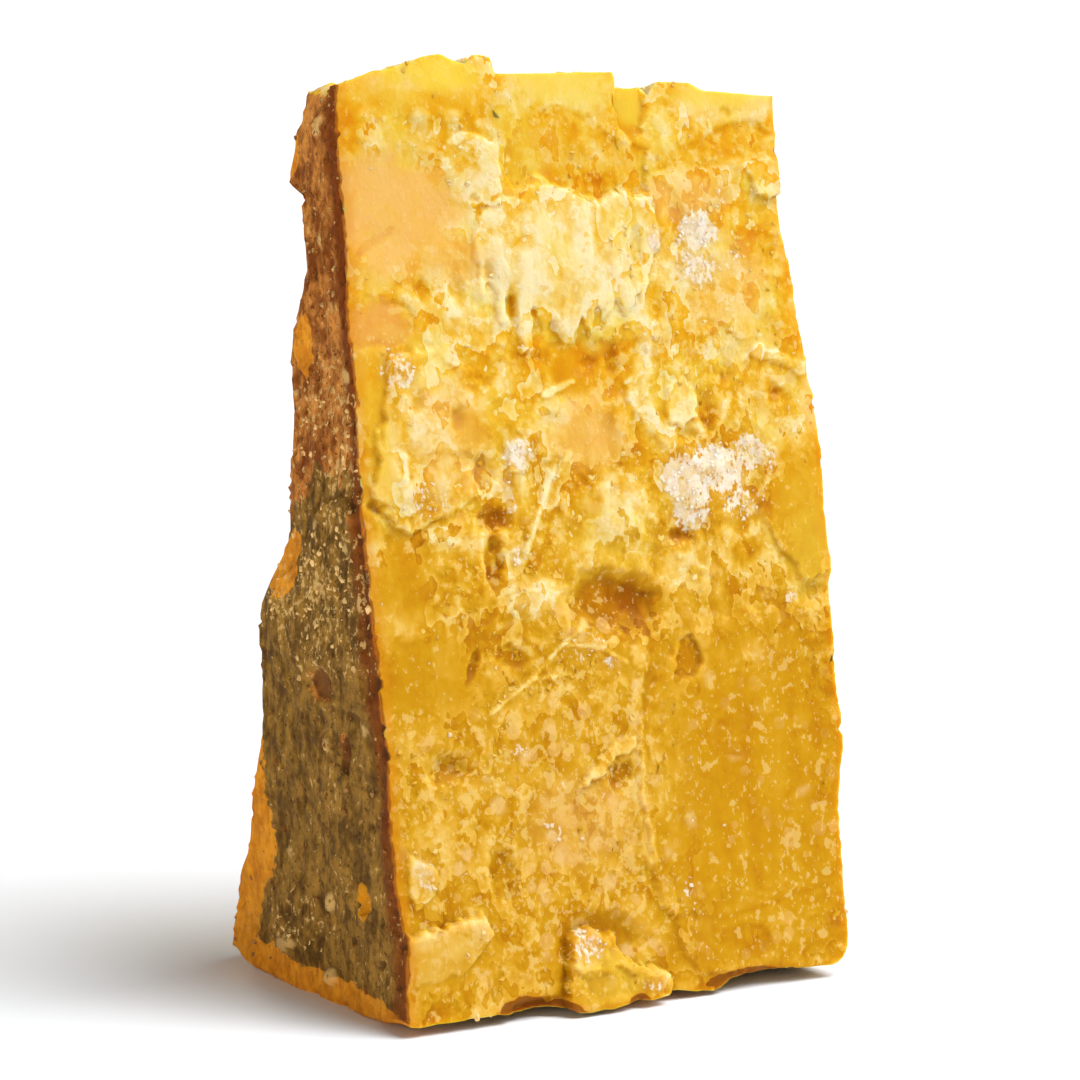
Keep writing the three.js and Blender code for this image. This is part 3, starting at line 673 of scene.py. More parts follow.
# %% A numbered box of grid points
ACROSS_STEPS, BACK_STEPS, UP_STEPS = 236, 72, 420
corner_count = (ACROSS_STEPS + 1, BACK_STEPS + 1, UP_STEPS + 1)
outer = np.ones(corner_count, bool)
outer[1:-1, 1:-1, 1:-1] = False
number = np.full(corner_count, -1, np.int64)
number[outer] = np.arange(outer.sum())
SIDES = {
    "back": number[:, -1, :], "tip": number[:, :, -1], "rim": number[:, :, 0],
    "right": number[-1], "left": number[0], "front": number[:, 0, :],
}
FLIPPED = {"back", "left", "rim"}
PASTE_SIDES = {"front", "back", "tip"}
print(outer.sum(), "points on the box")


def quads(side):
    """Quads of one side of the box, turned outwards."""
    face = SIDES[side]
    made = np.stack([face[:-1, :-1], face[1:, :-1], face[1:, 1:], face[:-1, 1:]], axis=-1).reshape(-1, 4)
    return made[:, ::-1] if side in FLIPPED else made


faces = np.concatenate([quads(side) for side in SIDES])
is_rind = np.concatenate([np.full(len(quads(side)), side not in PASTE_SIDES) for side in SIDES])
print(len(faces), "quads,", int(is_rind.sum()), "of them rind")

# %% Heights of every side
share_across = np.linspace(0, 1, ACROSS_STEPS + 1)[:, None]
share_back = np.linspace(0, 1, BACK_STEPS + 1)
share_up = np.linspace(0, 1, UP_STEPS + 1)[None, :]
plain_across = share_across * WHEEL_THICKNESS


def heights(across, back):
    """Heights from rim to tip over some points of the rim."""
    across, back = np.broadcast_arrays(across, back)
    return lerp(rim(across, (back - 0.5) * HEEL_DEPTH), tip(across, back * TIP_DEPTH), share_up)


up = {
    "front": heights(plain_across, 0.0), "back": heights(plain_across, 1.0),
    "left": heights(0.0, share_back[:, None]), "right": heights(WHEEL_THICKNESS, share_back[:, None]),
    "rim": rim(plain_across, (share_back - 0.5) * HEEL_DEPTH),
    "tip": tip(plain_across, share_back * TIP_DEPTH),
}
print("front is", round(up["front"].min(), 1), "to", round(up["front"].max(), 1), "mm high")

# %% Places across and depths of every side
behind = {
    side: lerp(CUT_SLOPE * up[side], HEEL_DEPTH - CUT_SLOPE * up[side], share_back[:, None])
    for side in ("left", "right")
}
across, depth, relief, tone, calm = {}, {}, {}, {}, {}
across["left"], relief["left"] = left_rind(behind["left"], up["left"])
across["right"], relief["right"] = right_rind(behind["right"], up["right"])
for side, end in (("front", 0), ("back", -1)):
    across[side] = lerp(across["left"][end], across["right"][end], share_across)
for side, end in (("rim", 0), ("tip", -1)):
    across[side] = lerp(across["left"][:, end], across["right"][:, end], share_across)
relief["front"], tone["front"], calm["front"] = front_cut(across["front"], up["front"])
relief["back"], tone["back"], calm["back"] = back_cut(across["back"], up["back"])
depth["front"] = CUT_SLOPE * up["front"] - HEEL_DEPTH / 2 - relief["front"]
depth["back"] = back_plane(across["back"], up["back"]) + relief["back"]
for side, end in (("left", 0), ("right", -1)):
    depth[side] = lerp(depth["front"][end], depth["back"][end], share_back[:, None])
for side, end in (("rim", 0), ("tip", -1)):
    depth[side] = lerp(depth["front"][:, end, None], depth["back"][:, end, None], share_back)
print("relief of the front cut in mm:", relief["front"].min().round(1), "to", relief["front"].max().round(1))

# %% [markdown]
# ## Convex and hollow
# Fresh lips and crumbs look pale because light passes through thin edges, and hollows look deep orange
# because light bounces about in them. How far a point stands out of its surroundings is the relief less a
# blurred copy of it. Blurring on the side's own grid is quick. The same measure lets standing forms hang
# down a little, so that ledges throw a shadow as a torn lip does.


# %% Blur, swells and hanging lips
def blurred(field, radius, passes=3):
    """A grid blurred by some passes of a box of the given radius in cells."""
    size = 2 * radius + 1
    for axis in (0, 1):
        count = field.shape[axis]
        ends = [(radius + 1, radius) if each == axis else (0, 0) for each in (0, 1)]
        for _ in range(passes):
            total = np.cumsum(np.pad(field, ends, mode="edge"), axis)
            high, low = (np.take(total, range(start, start + count), axis) for start in (size, 0))
            field = (high - low) / size
    return field


LIP_HANG = 0.34
for side in ("front", "back"):
    smooth = blurred(relief[side], 2)
    standing = np.maximum(0, smooth - blurred(smooth, 14))
    hang = LIP_HANG * standing * ease(up[side], 4, 16) * ease(194 - up[side], 0, 8)
    # Painted light and shade: paste that stands out is paler, and paste in hollows is a deeper orange.
    tone[side] = tone[side] + 0.07 * (blurred(relief[side], 1) - blurred(relief[side], 9))
    tone[side] = tone[side] + np.clip(0.16 * (relief[side] - blurred(relief[side], 2, 2)), -0.14, 0.12)
    up[side] = up[side] - hang
    print(side, "lips hang by up to", round(hang.max(), 2), "mm")

# %% [markdown]
# ## Maps for the colours
# The two flat sides and the rim are rind. A brown skin also shows along the edge of each cut, and the
# paste just inside it is darker. The left rind is reddish brown above, has a grey-olive bloom below, and
# is worn to a smooth orange along its back edge and foot. Every map is a number for each point.

# %% Maps of the paste
TIP_TONE = 0.8
TIP_LEMON = 0.25
BACK_SPECKLE = 0.7
maps = {name: np.zeros(outer.sum()) for name in (
    "tone", "calm", "chalk", "spot", "lemon", "peach", "from_rind", "bloom", "bare", "pits", "rind_edge",
    "speckle", "grainy", "hole", "cream", "flakes", "crystals", "crumbs", "high", "torn",
)}
tone["tip"] = TIP_TONE + 0.3 * torn(across["tip"], 4 * depth["tip"], 61)[1]
for side in ("back", "tip", "front"):
    maps["tone"][SIDES[side]] = tone[side]
maps["high"][SIDES["tip"]] = maps["torn"][SIDES["tip"]] = 1
for side in ("back", "front"):
    maps["calm"][SIDES[side]] = calm[side]
    # The high map mixes in a brighter ramp upwards, as painted light for the stronger light on the upper half
    # and through it.
    maps["high"][SIDES[side]] = ease(up[side], 70, 160)
    maps["torn"][SIDES[side]] = lerp(0.5, 1.0, ease(up[side], 60, 115)) * lerp(1.0, 0.2, calm[side])
front_place = across["front"], up["front"]
back_place = across["back"], up["back"]
maps["lemon"][SIDES["tip"]] = TIP_LEMON
maps["lemon"][SIDES["back"]] = 0.7 * ease(up["back"], 182, 198)
maps["peach"][SIDES["back"]] = 0.5 * ease(layered(across["back"] / 26, up["back"] / 26, 96), 0.1, 0.5)
maps["chalk"][SIDES["back"]] = np.clip(1.4 * layered(across["back"] / 16, up["back"] / 16, 95) - 0.55, 0, 0.8)
maps["lemon"][SIDES["front"]] = strongest(LEMON, *front_place)
maps["peach"][SIDES["front"]] = strongest(PEACH, *front_place)
maps["chalk"][SIDES["front"]] = strongest(CHALK, *front_place)
maps["spot"][SIDES["front"]] = spots(SPOTS, *front_place)
for side, place in (("back", back_place), ("front", front_place)):
    rows = ease(layered(place[0] / 1.7, place[1] / 15, 98), -0.25, 0.45)
    spread = strongest(SPECKLED, *place) if side == "front" else BACK_SPECKLE
    maps["speckle"][SIDES[side]] = spread * lerp(1.0, rows, calm[side])
for side in ("back", "tip", "front"):
    nearest = np.minimum(plain_across, WHEEL_THICKNESS - plain_across + 1.4) + 0 * up[side]
    if side != "tip":
        crust = strongest(FOOT_CRUST, across[side], up[side])
        nearest = np.minimum(nearest, 1.6 * up[side] - 1.4 - 8.6 * crust)
    uneven = 0.5 * layered(across[side] / 1.6, (up[side] + depth[side]) / 1.6, 91)
    maps["from_rind"][SIDES[side]] = nearest + uneven
print("tone of the front:", np.percentile(tone["front"], [5, 50, 95]).round(2))

# %% Maps of the rind
BARE = [
    (76, 26, 13, 36), (60, 93, 8, 9), (52, 141, 6, 9), (52, 181, 5, 6), (70, 4, 30, 5), (36, 2, 40, 6),
]
RIM_FROM_EDGE = 9
RED_PITS = [(38, 69.5, 8, 4.6), (29, 55, 3.4, 5.2)]
HOLES = [(21.5, 25, 3.6, 4.4)]
CREAM = [
    (37, 57, 1.9), (37, 22, 2.6), (36, 5.5, 2.6), (56, 9, 2.6), (53, 10, 1.6), (28, 136, 2.4),
    (40, 188, 2.6), (20, 62, 1.4), (33, 118, 1.6), (58, 30, 1.3), (27, 100, 1.5), (44, 104, 1.3),
    (36, 150, 1.6), (42, 164, 1.8),
]
for side, seed in (("left", 92), ("right", 93)):
    bloom_edge = 112 + 12 * layered(behind[side] / 8, up[side] / 8, seed)
    maps["bare"][SIDES[side]] = strongest(BARE, behind[side], up[side])
    maps["bloom"][SIDES[side]] = ease(bloom_edge - up[side], -2, 3)
    maps["rind_edge"][SIDES[side]] = behind[side] - CUT_SLOPE * up[side]
left_place = behind["left"], up["left"]
maps["bloom"][SIDES["left"]] *= 1 - strongest(RED_PITS, *left_place)
maps["hole"][SIDES["left"]] = strongest(HOLES, *left_place)
maps["cream"][SIDES["left"]] = spots(CREAM, *left_place)
GRAINY = [(40, 92, 40, 24, 1.0), (40, 124, 30, 18, 0.9), (40, 165, 14, 16, 0.5), (52, 14, 14, 8, 0.7)]
maps["grainy"][SIDES["left"]] = strongest(GRAINY, *left_place)
hidden = {"right": (behind["right"], up["right"]), "rim": (across["rim"], depth["rim"])}
for side, place in hidden.items():
    maps["grainy"][SIDES[side]] = ease(layered(place[0] / 30, place[1] / 30, 99), -0.3, 0.4)
maps["bloom"][SIDES["rim"]] = ease(layered(across["rim"] / 32, depth["rim"] / 34, 93), -0.4, 0.2)
maps["bare"][SIDES["rim"]] = 1 - ease(across["rim"], 0, 6)
maps["rind_edge"][SIDES["rim"]] = RIM_FROM_EDGE
for side in ("left", "right"):
    # How far the rind lies below its surroundings; the colour darkens such places as painted shade.
    maps["pits"][SIDES[side]] = blurred(relief[side], 4) - blurred(relief[side], 1, 1)
print("bloom covers", maps["bloom"][SIDES["left"]].mean().round(2), "of the left rind")

# %% Maps of what lies loose
for side in ("back", "front"):
    numbers = SIDES[side]
    crumbly = ease(layered(across[side] / 9, up[side] / 9, 97), -0.3, 0.5)
    inside = ease(maps["from_rind"][numbers], 1, 3)
    maps["flakes"][numbers] = inside * lerp(1.0, 0.03, calm[side]) * crumbly
    maps["crystals"][numbers] = inside * np.maximum(maps["chalk"][numbers] ** 2, 0.003)
for side in ("left", "right", "rim"):
    numbers = SIDES[side]
    above_floor = ease(up[side], 1.0, 3.0)
    maps["crumbs"][numbers] = above_floor * lerp(0.25, 1.0, maps["grainy"][numbers]) * (side != "rim" or 0.2)
for side in ("back", "tip", "front"):
    maps["crumbs"][SIDES[side]] = 0
print("loose flakes on", maps["flakes"][SIDES["front"]].mean().round(2), "of the front")

# %% [markdown]
# ## The mesh
# The points move into the model's frame and into metres here. The dense grid has three times the
# triangles that a piece should have, so Decimate thins it: first only the hidden sides, which a group of
# points marks, and then all of it, where it is flattest. Each face keeps its material, paste or rind.


# %% Make the dense mesh
def add_map(mesh, name, values):
    """A named number for each point of a mesh, for nodes to read."""
    attribute = mesh.attributes.new(name, "FLOAT", "POINT")
    attribute.data.foreach_set("value", np.ascontiguousarray(values, np.float32))


def make_mesh(name, points, corners):
    mesh = bpy.data.meshes.new(name)
    mesh.vertices.add(len(points))
    mesh.vertices.foreach_set("co", np.ascontiguousarray(points, np.float32).ravel())
    mesh.loops.add(corners.size)
    mesh.loops.foreach_set("vertex_index", corners.ravel().astype(np.int32))
    mesh.polygons.add(len(corners))
    mesh.polygons.foreach_set("loop_start", np.arange(0, corners.size, 4, dtype=np.int32))
    mesh.update(calc_edges=True)
    return mesh


points = np.zeros((outer.sum(), 3))
for side, numbers in SIDES.items():
    points[numbers, 0] = across[side] - FRAME_MIDDLE[0]
    points[numbers, 1] = depth[side] - FRAME_MIDDLE[1]
    points[numbers, 2] = up[side]
dense = make_mesh("dense_skin", points * MM, faces)
for name, values in maps.items():
    add_map(dense, name, values)
for name in ("paste", "rind"):
    dense.materials.append(bpy.data.materials.new(name))
dense.polygons.foreach_set("material_index", is_rind.astype(np.int32))
wedge = bpy.data.objects.new("wedge", dense)
bpy.context.collection.objects.link(wedge)
print("dense skin:", len(dense.polygons), "quads")

# %% Thin the skin, the hidden sides first
TRIANGLES = 194000
HIDDEN_TRIANGLES = 330000
SHARP_EDGE = math.radians(58)
hidden_points = np.unique(np.concatenate([SIDES[side].ravel() for side in ("back", "right", "rim")]))
wedge.vertex_groups.new(name="hidden").add(hidden_points.tolist(), 1.0, "REPLACE")
for name, start, end in (("hidden", 2 * len(faces), HIDDEN_TRIANGLES), ("", HIDDEN_TRIANGLES, TRIANGLES)):
    thin = wedge.modifiers.new("thin", "DECIMATE")
    thin.ratio = end / start
    thin.vertex_group = name


def plain_mesh(piece, name):
    """The piece as its modifiers leave it, as a plain mesh, with the modifiers gone."""
    graph = bpy.context.evaluated_depsgraph_get()
    made = bpy.data.meshes.new_from_object(
        piece.evaluated_get(graph), preserve_all_data_layers=True, depsgraph=graph)
    made.name = name
    piece.modifiers.clear()
    piece.data = made
    return made


skin = plain_mesh(wedge, "wedge_skin")
wedge.vertex_groups.clear()
bpy.data.meshes.remove(dense)
skin.polygons.foreach_set("use_smooth", np.ones(len(skin.polygons), bool))
skin.set_sharp_from_angle(angle=SHARP_EDGE)
kept_maps = [name for name in maps if name in skin.attributes]
print("fine skin:", len(skin.polygons), "faces,", len(kept_maps), "maps")

# %% [markdown]
# ## Writing nodes as Python
# A material is a tree of nodes. Placing each Math node by hand hides the formula, so a socket is wrapped
# in a small class: adding or multiplying two wrapped sockets adds the node that does it. Any other node
# comes from one method, which sets the node's settings first and then feeds its sockets.


# %% Sockets that take part in arithmetic
class Wire:
    """A socket of a node tree that can be used in Python expressions."""

    def __init__(self, nodes, socket):
        self.nodes, self.socket = nodes, socket

    def math(self, operation, *values):
        return self.nodes.node("ShaderNodeMath", {"operation": operation}, dict(enumerate((self, *values))))

    def __add__(self, other):
        return self.math("ADD", other)

    def __sub__(self, other):
        return self.math("SUBTRACT", other)

    def __mul__(self, other):
        return self.math("MULTIPLY", other)

    def __rsub__(self, other):
        return self.nodes.node("ShaderNodeMath", {"operation": "SUBTRACT"}, {0: other, 1: self})

    __radd__, __rmul__ = __add__, __mul__

    def larger(self, other):
        return self.math("MAXIMUM", other)

    def stepped(self, start, end):
        """0 before start, 1 after end, smooth between."""
        settings = {"interpolation_type": "SMOOTHSTEP"}
        sockets = {"Value": self, "From Min": start, "From Max": end}
        return self.nodes.node("ShaderNodeMapRange", settings, sockets)


class Nodes:
    """A node tree, with one way to add a node."""

    def __init__(self, tree):
        self.tree = tree

    def node(self, kind, settings=None, sockets=None, output=0):
        """Adds a node, sets its settings, feeds its sockets, and returns one output."""
        made = self.tree.nodes.new(kind)
        for name, value in (settings or {}).items():
            if name == "stops":
                ramp = made.color_ramp
                while len(ramp.elements) < len(value):
                    ramp.elements.new(0.5)
                for element, (place, colour) in zip(ramp.elements, value):
                    element.position, element.color = place, (*colour, 1)
            else:
                setattr(made, name, value)
        for name, value in (sockets or {}).items():
            if isinstance(value, Wire):
                self.tree.links.new(value.socket, made.inputs[name])
            else:
                made.inputs[name].default_value = value
        return Wire(self, made.outputs[output]) if made.outputs else None

    def map(self, name):
        return self.node("ShaderNodeAttribute", {"attribute_name": name}, output="Fac")

    def mixed(self, low, high, share):
        """One colour over another by a share."""
        low, high = (value if isinstance(value, Wire) else (*value, 1) for value in (low, high))
        return self.node("ShaderNodeMix", {"data_type": "RGBA"}, {"Factor": share, 6: low, 7: high}, output=2)

    def coated(self, colour, named_colour, *coats):
        """A colour with others laid over it, each given as red, green, blue and a share."""
        for *over, share in coats:
            colour = self.mixed(colour, named_colour(*over), share)
        return colour

    def ramp(self, stops, place):
        return self.node("ShaderNodeValToRGB", {"stops": stops}, {"Fac": place})

    def bump(self, height, strength, distance):
        sockets = {"Height": height, "Strength": strength, "Distance": distance}
        return self.node("ShaderNodeBump", {}, sockets, output="Normal")

    def surface(self, sockets):
        """Ends the tree with a surface."""
        made = self.node("ShaderNodeBsdfPrincipled", {}, sockets)
        self.node("ShaderNodeOutputMaterial", {}, {"Surface": made})

    def noise(self, scale, detail, roughness, stretch=(1, 1, 1), moved=0.0):
        """Noise from 0 to 1 over the piece; scale is in waves a metre."""
        place = self.node("ShaderNodeTexCoord", output="Object")
        sockets = {"Vector": place, "Scale": stretch, "Location": (moved, 0, 0)}
        place = self.node("ShaderNodeMapping", {}, sockets)
        sockets = {"Vector": place, "Scale": scale, "Detail": detail, "Roughness": roughness}
        return self.node("ShaderNodeTexNoise", {}, sockets)

    def dots(self, scale):
        """Round dots of many sizes, as crystals show in a cut."""
        place = self.node("ShaderNodeTexCoord", output="Object")
        away = self.node("ShaderNodeTexVoronoi", {}, {"Vector": place, "Scale": scale})
        size = Wire(self, away.socket.node.outputs["Color"])
        return (size * 0.9 - away).stepped(0.3, 0.36)

    def cells(self, scale, uneven, bend):
        """Grains with a shade from 0 to 1 each; a coloured noise bends their outlines, in metres."""
        place = self.node("ShaderNodeTexCoord", output="Object")
        uneven = self.node("ShaderNodeVectorMath", {"operation": "SCALE"}, {0: uneven, "Scale": bend})
        place = self.node("ShaderNodeVectorMath", {"operation": "ADD"}, {0: place, 1: uneven})
        colour = self.node("ShaderNodeTexVoronoi", {}, {"Vector": place, "Scale": scale}, output="Color")
        return colour + 0  # a Math node turns each grain's colour into a grey, which is its shade


def finish(material):
    """A material's node tree, emptied."""
    material.use_nodes = True
    material.node_tree.nodes.clear()
    return Nodes(material.node_tree)


def srgb(red, green, blue):
    """A colour as a screen shows it, made linear."""
    shares = [value / 255 for value in (red, green, blue)]
    return tuple(share / 12.92 if share <= 0.04045 else ((share + 0.055) / 1.055) ** 2.4 for share in shares)


print("gold is", [round(value, 3) for value in srgb(221, 160, 28)])

# %% [markdown]
# ## Paste
# Paste runs from deep amber in hollows, over gold, to cream at fresh breaks: partly the paste's own colour,
# and partly painted shade in the hollows and painted light at the fresh, thin breaks. The map of its tone
# chooses a place on that ramp. Where it is torn, it peels in layers: a noise that climbs slowly and drops at
# once looks like flakes that lie over each other, with painted light on their pale lips and painted shade
# below them. The upper half takes a brighter ramp, painted light for the stronger light that falls on it
# and passes through it. The thin tip shifts to lemon and clean planes to peach. Crystals are white where
# the paste is chalky, and pale flecks and round dots lie all over. Colours are named as the photo shows
# them and divided by the light that falls on the cut, so that they look the same again.

# %% Patterns of the paste
LAYERS_A_WAVE = 4
LAYERS_A_METRE = 35
PASTE_MAPS = ("tone", "calm", "chalk", "spot", "speckle", "high", "torn", "from_rind")
paste = finish(skin.materials[0])
tone, calm, chalk, spot, speckle, high, torn_paste, from_rind = (paste.map(name) for name in PASTE_MAPS)
object_place = paste.node("ShaderNodeTexCoord", output="Object")
height = paste.node("ShaderNodeSeparateXYZ", {}, {0: object_place}, output="Z")
soft = paste.noise(230, 2, 0.6) - 0.5
fine = paste.noise(950, 2, 0.6, stretch=(1, 1, 0.7))
slow = paste.noise(75, 1, 0.5, moved=4.0)
uneven = {"Vector": object_place, "Scale": 700, "Detail": 1}
uneven = paste.node("ShaderNodeTexNoise", {}, uneven, output="Color")
crumb = paste.cells(420, uneven, 0.0012) - 0.5
facets = paste.cells(190, uneven, 0.004) - 0.5
# In colour, the peeled layers paint light on their pale lower lips and shade below them; in the bump they
# make the lips.
peeled = paste.noise(115, 3, 0.6, stretch=(1, 1, 0.7), moved=1.0) * LAYERS_A_WAVE
peeled = (peeled - height * LAYERS_A_METRE).math("FRACT")
chips = paste.noise(330, 2, 0.5, moved=3.0)
raised = peeled * 0.5 + chips.stepped(0.575, 0.59) * 0.18
# Colour of the torn paste: random tones of grains and facets, with the peeled layers' painted light and
# shade.
flake_tone_light_and_shade = crumb * 0.12 + facets * 0.3 + raised + slow * 0.6 - 0.57
flecks = (fine + soft * 0.2 + speckle * 0.09).stepped(0.65, 0.7)
flecks = flecks.larger((chips + speckle * 0.08).stepped(0.665, 0.69))
white = (chalk * 1.8 + fine * 2.8 + soft * 1.6 - 2.4).stepped(-0.1, 0.45)
print("patterns of the paste:", len(paste.tree.nodes), "nodes")

# %% Colour of the paste
CUT_LIGHT = 1.4


def paste_colour(red, green, blue):
    return tuple(value / CUT_LIGHT for value in srgb(red, green, blue))


def stops(named_colour, *rows):
    """The stops of a ramp, each a place from 0 to 1 and a colour."""
    return [(place, named_colour(*colour)) for place, *colour in rows]


PASTE_STOPS = stops(
    paste_colour, (0.0, 170, 96, 2), (0.25, 206, 139, 6), (0.42, 223, 167, 20), (0.55, 237, 184, 54),
    (0.7, 249, 205, 98), (0.85, 253, 226, 148), (1.0, 255, 240, 190))
# Painted light: the upper half's ramp is brighter, and its deeper places stay orange where light passes
# through.
UPPER_LIGHT_STOPS = stops(
    paste_colour, (0.0, 232, 144, 6), (0.25, 240, 166, 14), (0.42, 244, 182, 24), (0.55, 247, 195, 54),
    (0.7, 250, 209, 100), (0.85, 253, 226, 146), (1.0, 256, 239, 188))
MOTTLE = 0.06  # how far soft and fine noise move the paste along its ramp
place_on_ramp = tone + soft * MOTTLE + (fine - 0.5) * MOTTLE + flake_tone_light_and_shade * torn_paste
colour = paste.mixed(paste.ramp(PASTE_STOPS, place_on_ramp), paste.ramp(UPPER_LIGHT_STOPS, place_on_ramp), high)
colour = paste.coated(
    colour, paste_colour,
    (252, 224, 78, (paste.map("lemon") * 0.7).larger(slow.stepped(0.5, 0.6) * high * 0.3)),
    (252, 198, 116, paste.map("peach") * (0.68 + soft)), (252, 216, 132, flecks * 0.5),
    (248, 200, 116, paste.dots(240) * speckle * 0.55), (206, 138, 40, chalk * 0.45),
    (250, 208, 134, spot * 0.7))
crystal_colours = paste_colour(244, 212, 152), paste_colour(262, 254, 238)
colour = paste.mixed(colour, paste.mixed(*crystal_colours, crumb * 0.8 + fine + soft), white * 0.95)
colour = paste.coated(
    colour, paste_colour, (222, 142, 18, (1 - from_rind.stepped(0.4, 3.6)) * 0.5),
    (130, 66, 12, (1 - from_rind.stepped(0.0, 0.6)) * 0.8))
paste.surface({
    "Base Color": colour, "Roughness": 0.52 - calm * 0.1 + white * 0.2, "Specular IOR Level": 0.06,
    "Normal": paste.bump(fine + raised * torn_paste * 3, 0.36, 0.0006),
    "Subsurface Weight": 0.85, "Subsurface Radius": (1.0, 0.55, 0.18), "Subsurface Scale": 0.005,
})
print("paste:", len(paste.tree.nodes), "nodes")

# %% [markdown]
# ## Rind
# A natural rind is a dry crust of brown and grey moulds with a grain up and down, where the cloth lay.
# Three browns are mixed by the maps: a reddish one, an olive bloom, and worn orange. Pale flecks crowd
# where the crust is grainy, dark specks are all over, painted shade darkens its hollows and pinholes, and
# towards the front edge the skin reddens. The left side faces away from the light, so its colours are
# divided by less.

# %% Colour of the rind
SIDE_LIGHT = 0.64


def rind_colour(red, green, blue):
    return tuple(value / SIDE_LIGHT for value in srgb(red, green, blue))


rind = finish(skin.materials[1])
bloom, bare, pits, grainy = (rind.map(name) for name in ("bloom", "bare", "pits", "grainy"))
mottle = rind.noise(110, 3, 0.6)
grain = rind.noise(430, 4, 0.66, stretch=(1, 1, 0.5))
grit = rind.noise(900, 3, 0.6, stretch=(1, 0.8, 0.7))
light_and_dark = (grain * 0.6 + mottle * 0.4).stepped(0.38, 0.62)
BROWNS = [((110, 56, 16), (186, 122, 54)), ((80, 55, 18), (142, 104, 42)), ((176, 106, 20), (206, 138, 34))]
reddish, olive, worn = (
    rind.mixed(rind_colour(*dark), rind_colour(*light), light_and_dark) for dark, light in BROWNS)
crust = rind.mixed(reddish, olive, (bloom + mottle * 0.8 + grit * 0.4 - 0.6).stepped(0.4, 0.6))
crust = rind.mixed(crust, worn, (bare + mottle * 0.5 + grit * 0.2 - 0.35).stepped(0.42, 0.58))
from_edge = rind.map("rind_edge") + mottle * 3 - 1.5
hole = rind.map("hole").stepped(0.3, 0.6)
pale = (grit + mottle * 0.4 + grainy * 0.1 - bare * 0.04).stepped(0.84, 0.9).larger(rind.map("cream"))
# Painted shade darkens the crust's hollows and pinholes; the grit adds the rind's own dark specks.
dark = pits.stepped(0.12, 0.5).larger(1 - grit.stepped(0.34, 0.4)) * (1 - bare * 0.7) * (1 - hole)
crust = rind.coated(
    crust, rind_colour, (104, 48, 8, (1 - from_edge.stepped(3.0, 8.5)) * (0.95 - bloom * 0.12)),
    (190, 106, 18, (1 - from_edge.stepped(0.0, 1.2)) * 0.6), (180, 118, 14, hole),
    (200, 164, 102, pale * 0.65), (62, 36, 14, dark * 0.75))
rind.surface({
    "Base Color": crust, "Roughness": grain * 0.2 + 0.66, "Specular IOR Level": 0.12,
    "Normal": rind.bump(grit + grain * 1.4 + pale * 0.8, 0.5, 0.0008),
})
print("rind:", len(rind.tree.nodes), "nodes")

# %% [markdown]
# ## Loose flakes, crystals and crumbs
# A break sheds small flakes that stay on it, chalky places carry loose white crystals, and crumbs stick
# to the rind. They follow the surface, so a Geometry Nodes tree strews them: it picks points by a map of
# the skin, puts a small faceted lump at each, sizes and turns it by seeded draws, makes all of them real
# mesh, and dents them with noise so that no two are alike.

# %% A tree that strews lumps over a surface
STREW_INPUTS = {
    "Skin": "NodeSocketGeometry", "Map": "NodeSocketString", "Lumps a square metre": "NodeSocketFloat",
    "Smallest": "NodeSocketFloat", "Largest": "NodeSocketFloat", "Lowest stretch": "NodeSocketVector",
    "Highest stretch": "NodeSocketVector", "Seed": "NodeSocketInt", "Finish": "NodeSocketMaterial",
}
strew_tree = bpy.data.node_groups.new("strew", "GeometryNodeTree")
for name, kind in STREW_INPUTS.items():
    strew_tree.interface.new_socket(name, in_out="INPUT", socket_type=kind)
strew_tree.interface.new_socket("Lumps", in_out="OUTPUT", socket_type="NodeSocketGeometry")
strew = Nodes(strew_tree)
given = {name: strew.node("NodeGroupInput", output=name) for name in STREW_INPUTS}


def drawn(kind, low, high, output, seed):
    """A draw for each lump between two limits."""
    first = {"FLOAT_VECTOR": 0, "FLOAT": 2}[kind]
    sockets = {first: low, first + 1: high, "Seed": given["Seed"] + seed}
    return strew.node("FunctionNodeRandomValue", {"data_type": kind}, sockets, output=output)


share = strew.node("GeometryNodeInputNamedAttribute", {"data_type": "FLOAT"}, {"Name": given["Map"]})
spread = {"Mesh": given["Skin"], "Density": share * given["Lumps a square metre"], "Seed": given["Seed"]}
spots_on_skin = strew.node("GeometryNodeDistributePointsOnFaces", {}, spread)
upright = Wire(strew, spots_on_skin.socket.node.outputs["Rotation"])
LEAN, TURN = 0.6, 6.28  # how far a lump may lean and turn, in radians
tumble = drawn("FLOAT_VECTOR", (-LEAN, -LEAN, 0), (LEAN, LEAN, TURN), 0, 1)
tumble = strew.node("FunctionNodeEulerToRotation", {}, {"Euler": tumble})
turned = {"Rotation": upright, "Rotate By": tumble}
turned = strew.node("FunctionNodeRotateRotation", {"rotation_space": "LOCAL"}, turned)
stretch = drawn("FLOAT_VECTOR", given["Lowest stretch"], given["Highest stretch"], 0, 2)
size = drawn("FLOAT", given["Smallest"], given["Largest"], 1, 3)
scaled = strew.node("ShaderNodeVectorMath", {"operation": "SCALE"}, {0: stretch, "Scale": size})
lump = strew.node("GeometryNodeMeshIcoSphere", {}, {"Radius": 0.5, "Subdivisions": 1})
lumps = strew.node("GeometryNodeInstanceOnPoints", {}, {
    "Points": spots_on_skin, "Instance": lump, "Rotation": turned, "Scale": scaled})
shade = {"Geometry": lumps, "Name": "shade", "Value": drawn("FLOAT", 0.0, 1.0, 1, 4)}
lumps = strew.node("GeometryNodeStoreNamedAttribute", {"data_type": "FLOAT", "domain": "INSTANCE"}, shade)
lumps = strew.node("GeometryNodeRealizeInstances", {}, {"Geometry": lumps})
DENTS_A_METRE = 1300.0
dents = strew.node("ShaderNodeTexNoise", {}, {"Scale": DENTS_A_METRE, "Detail": 1.0}, output="Color")
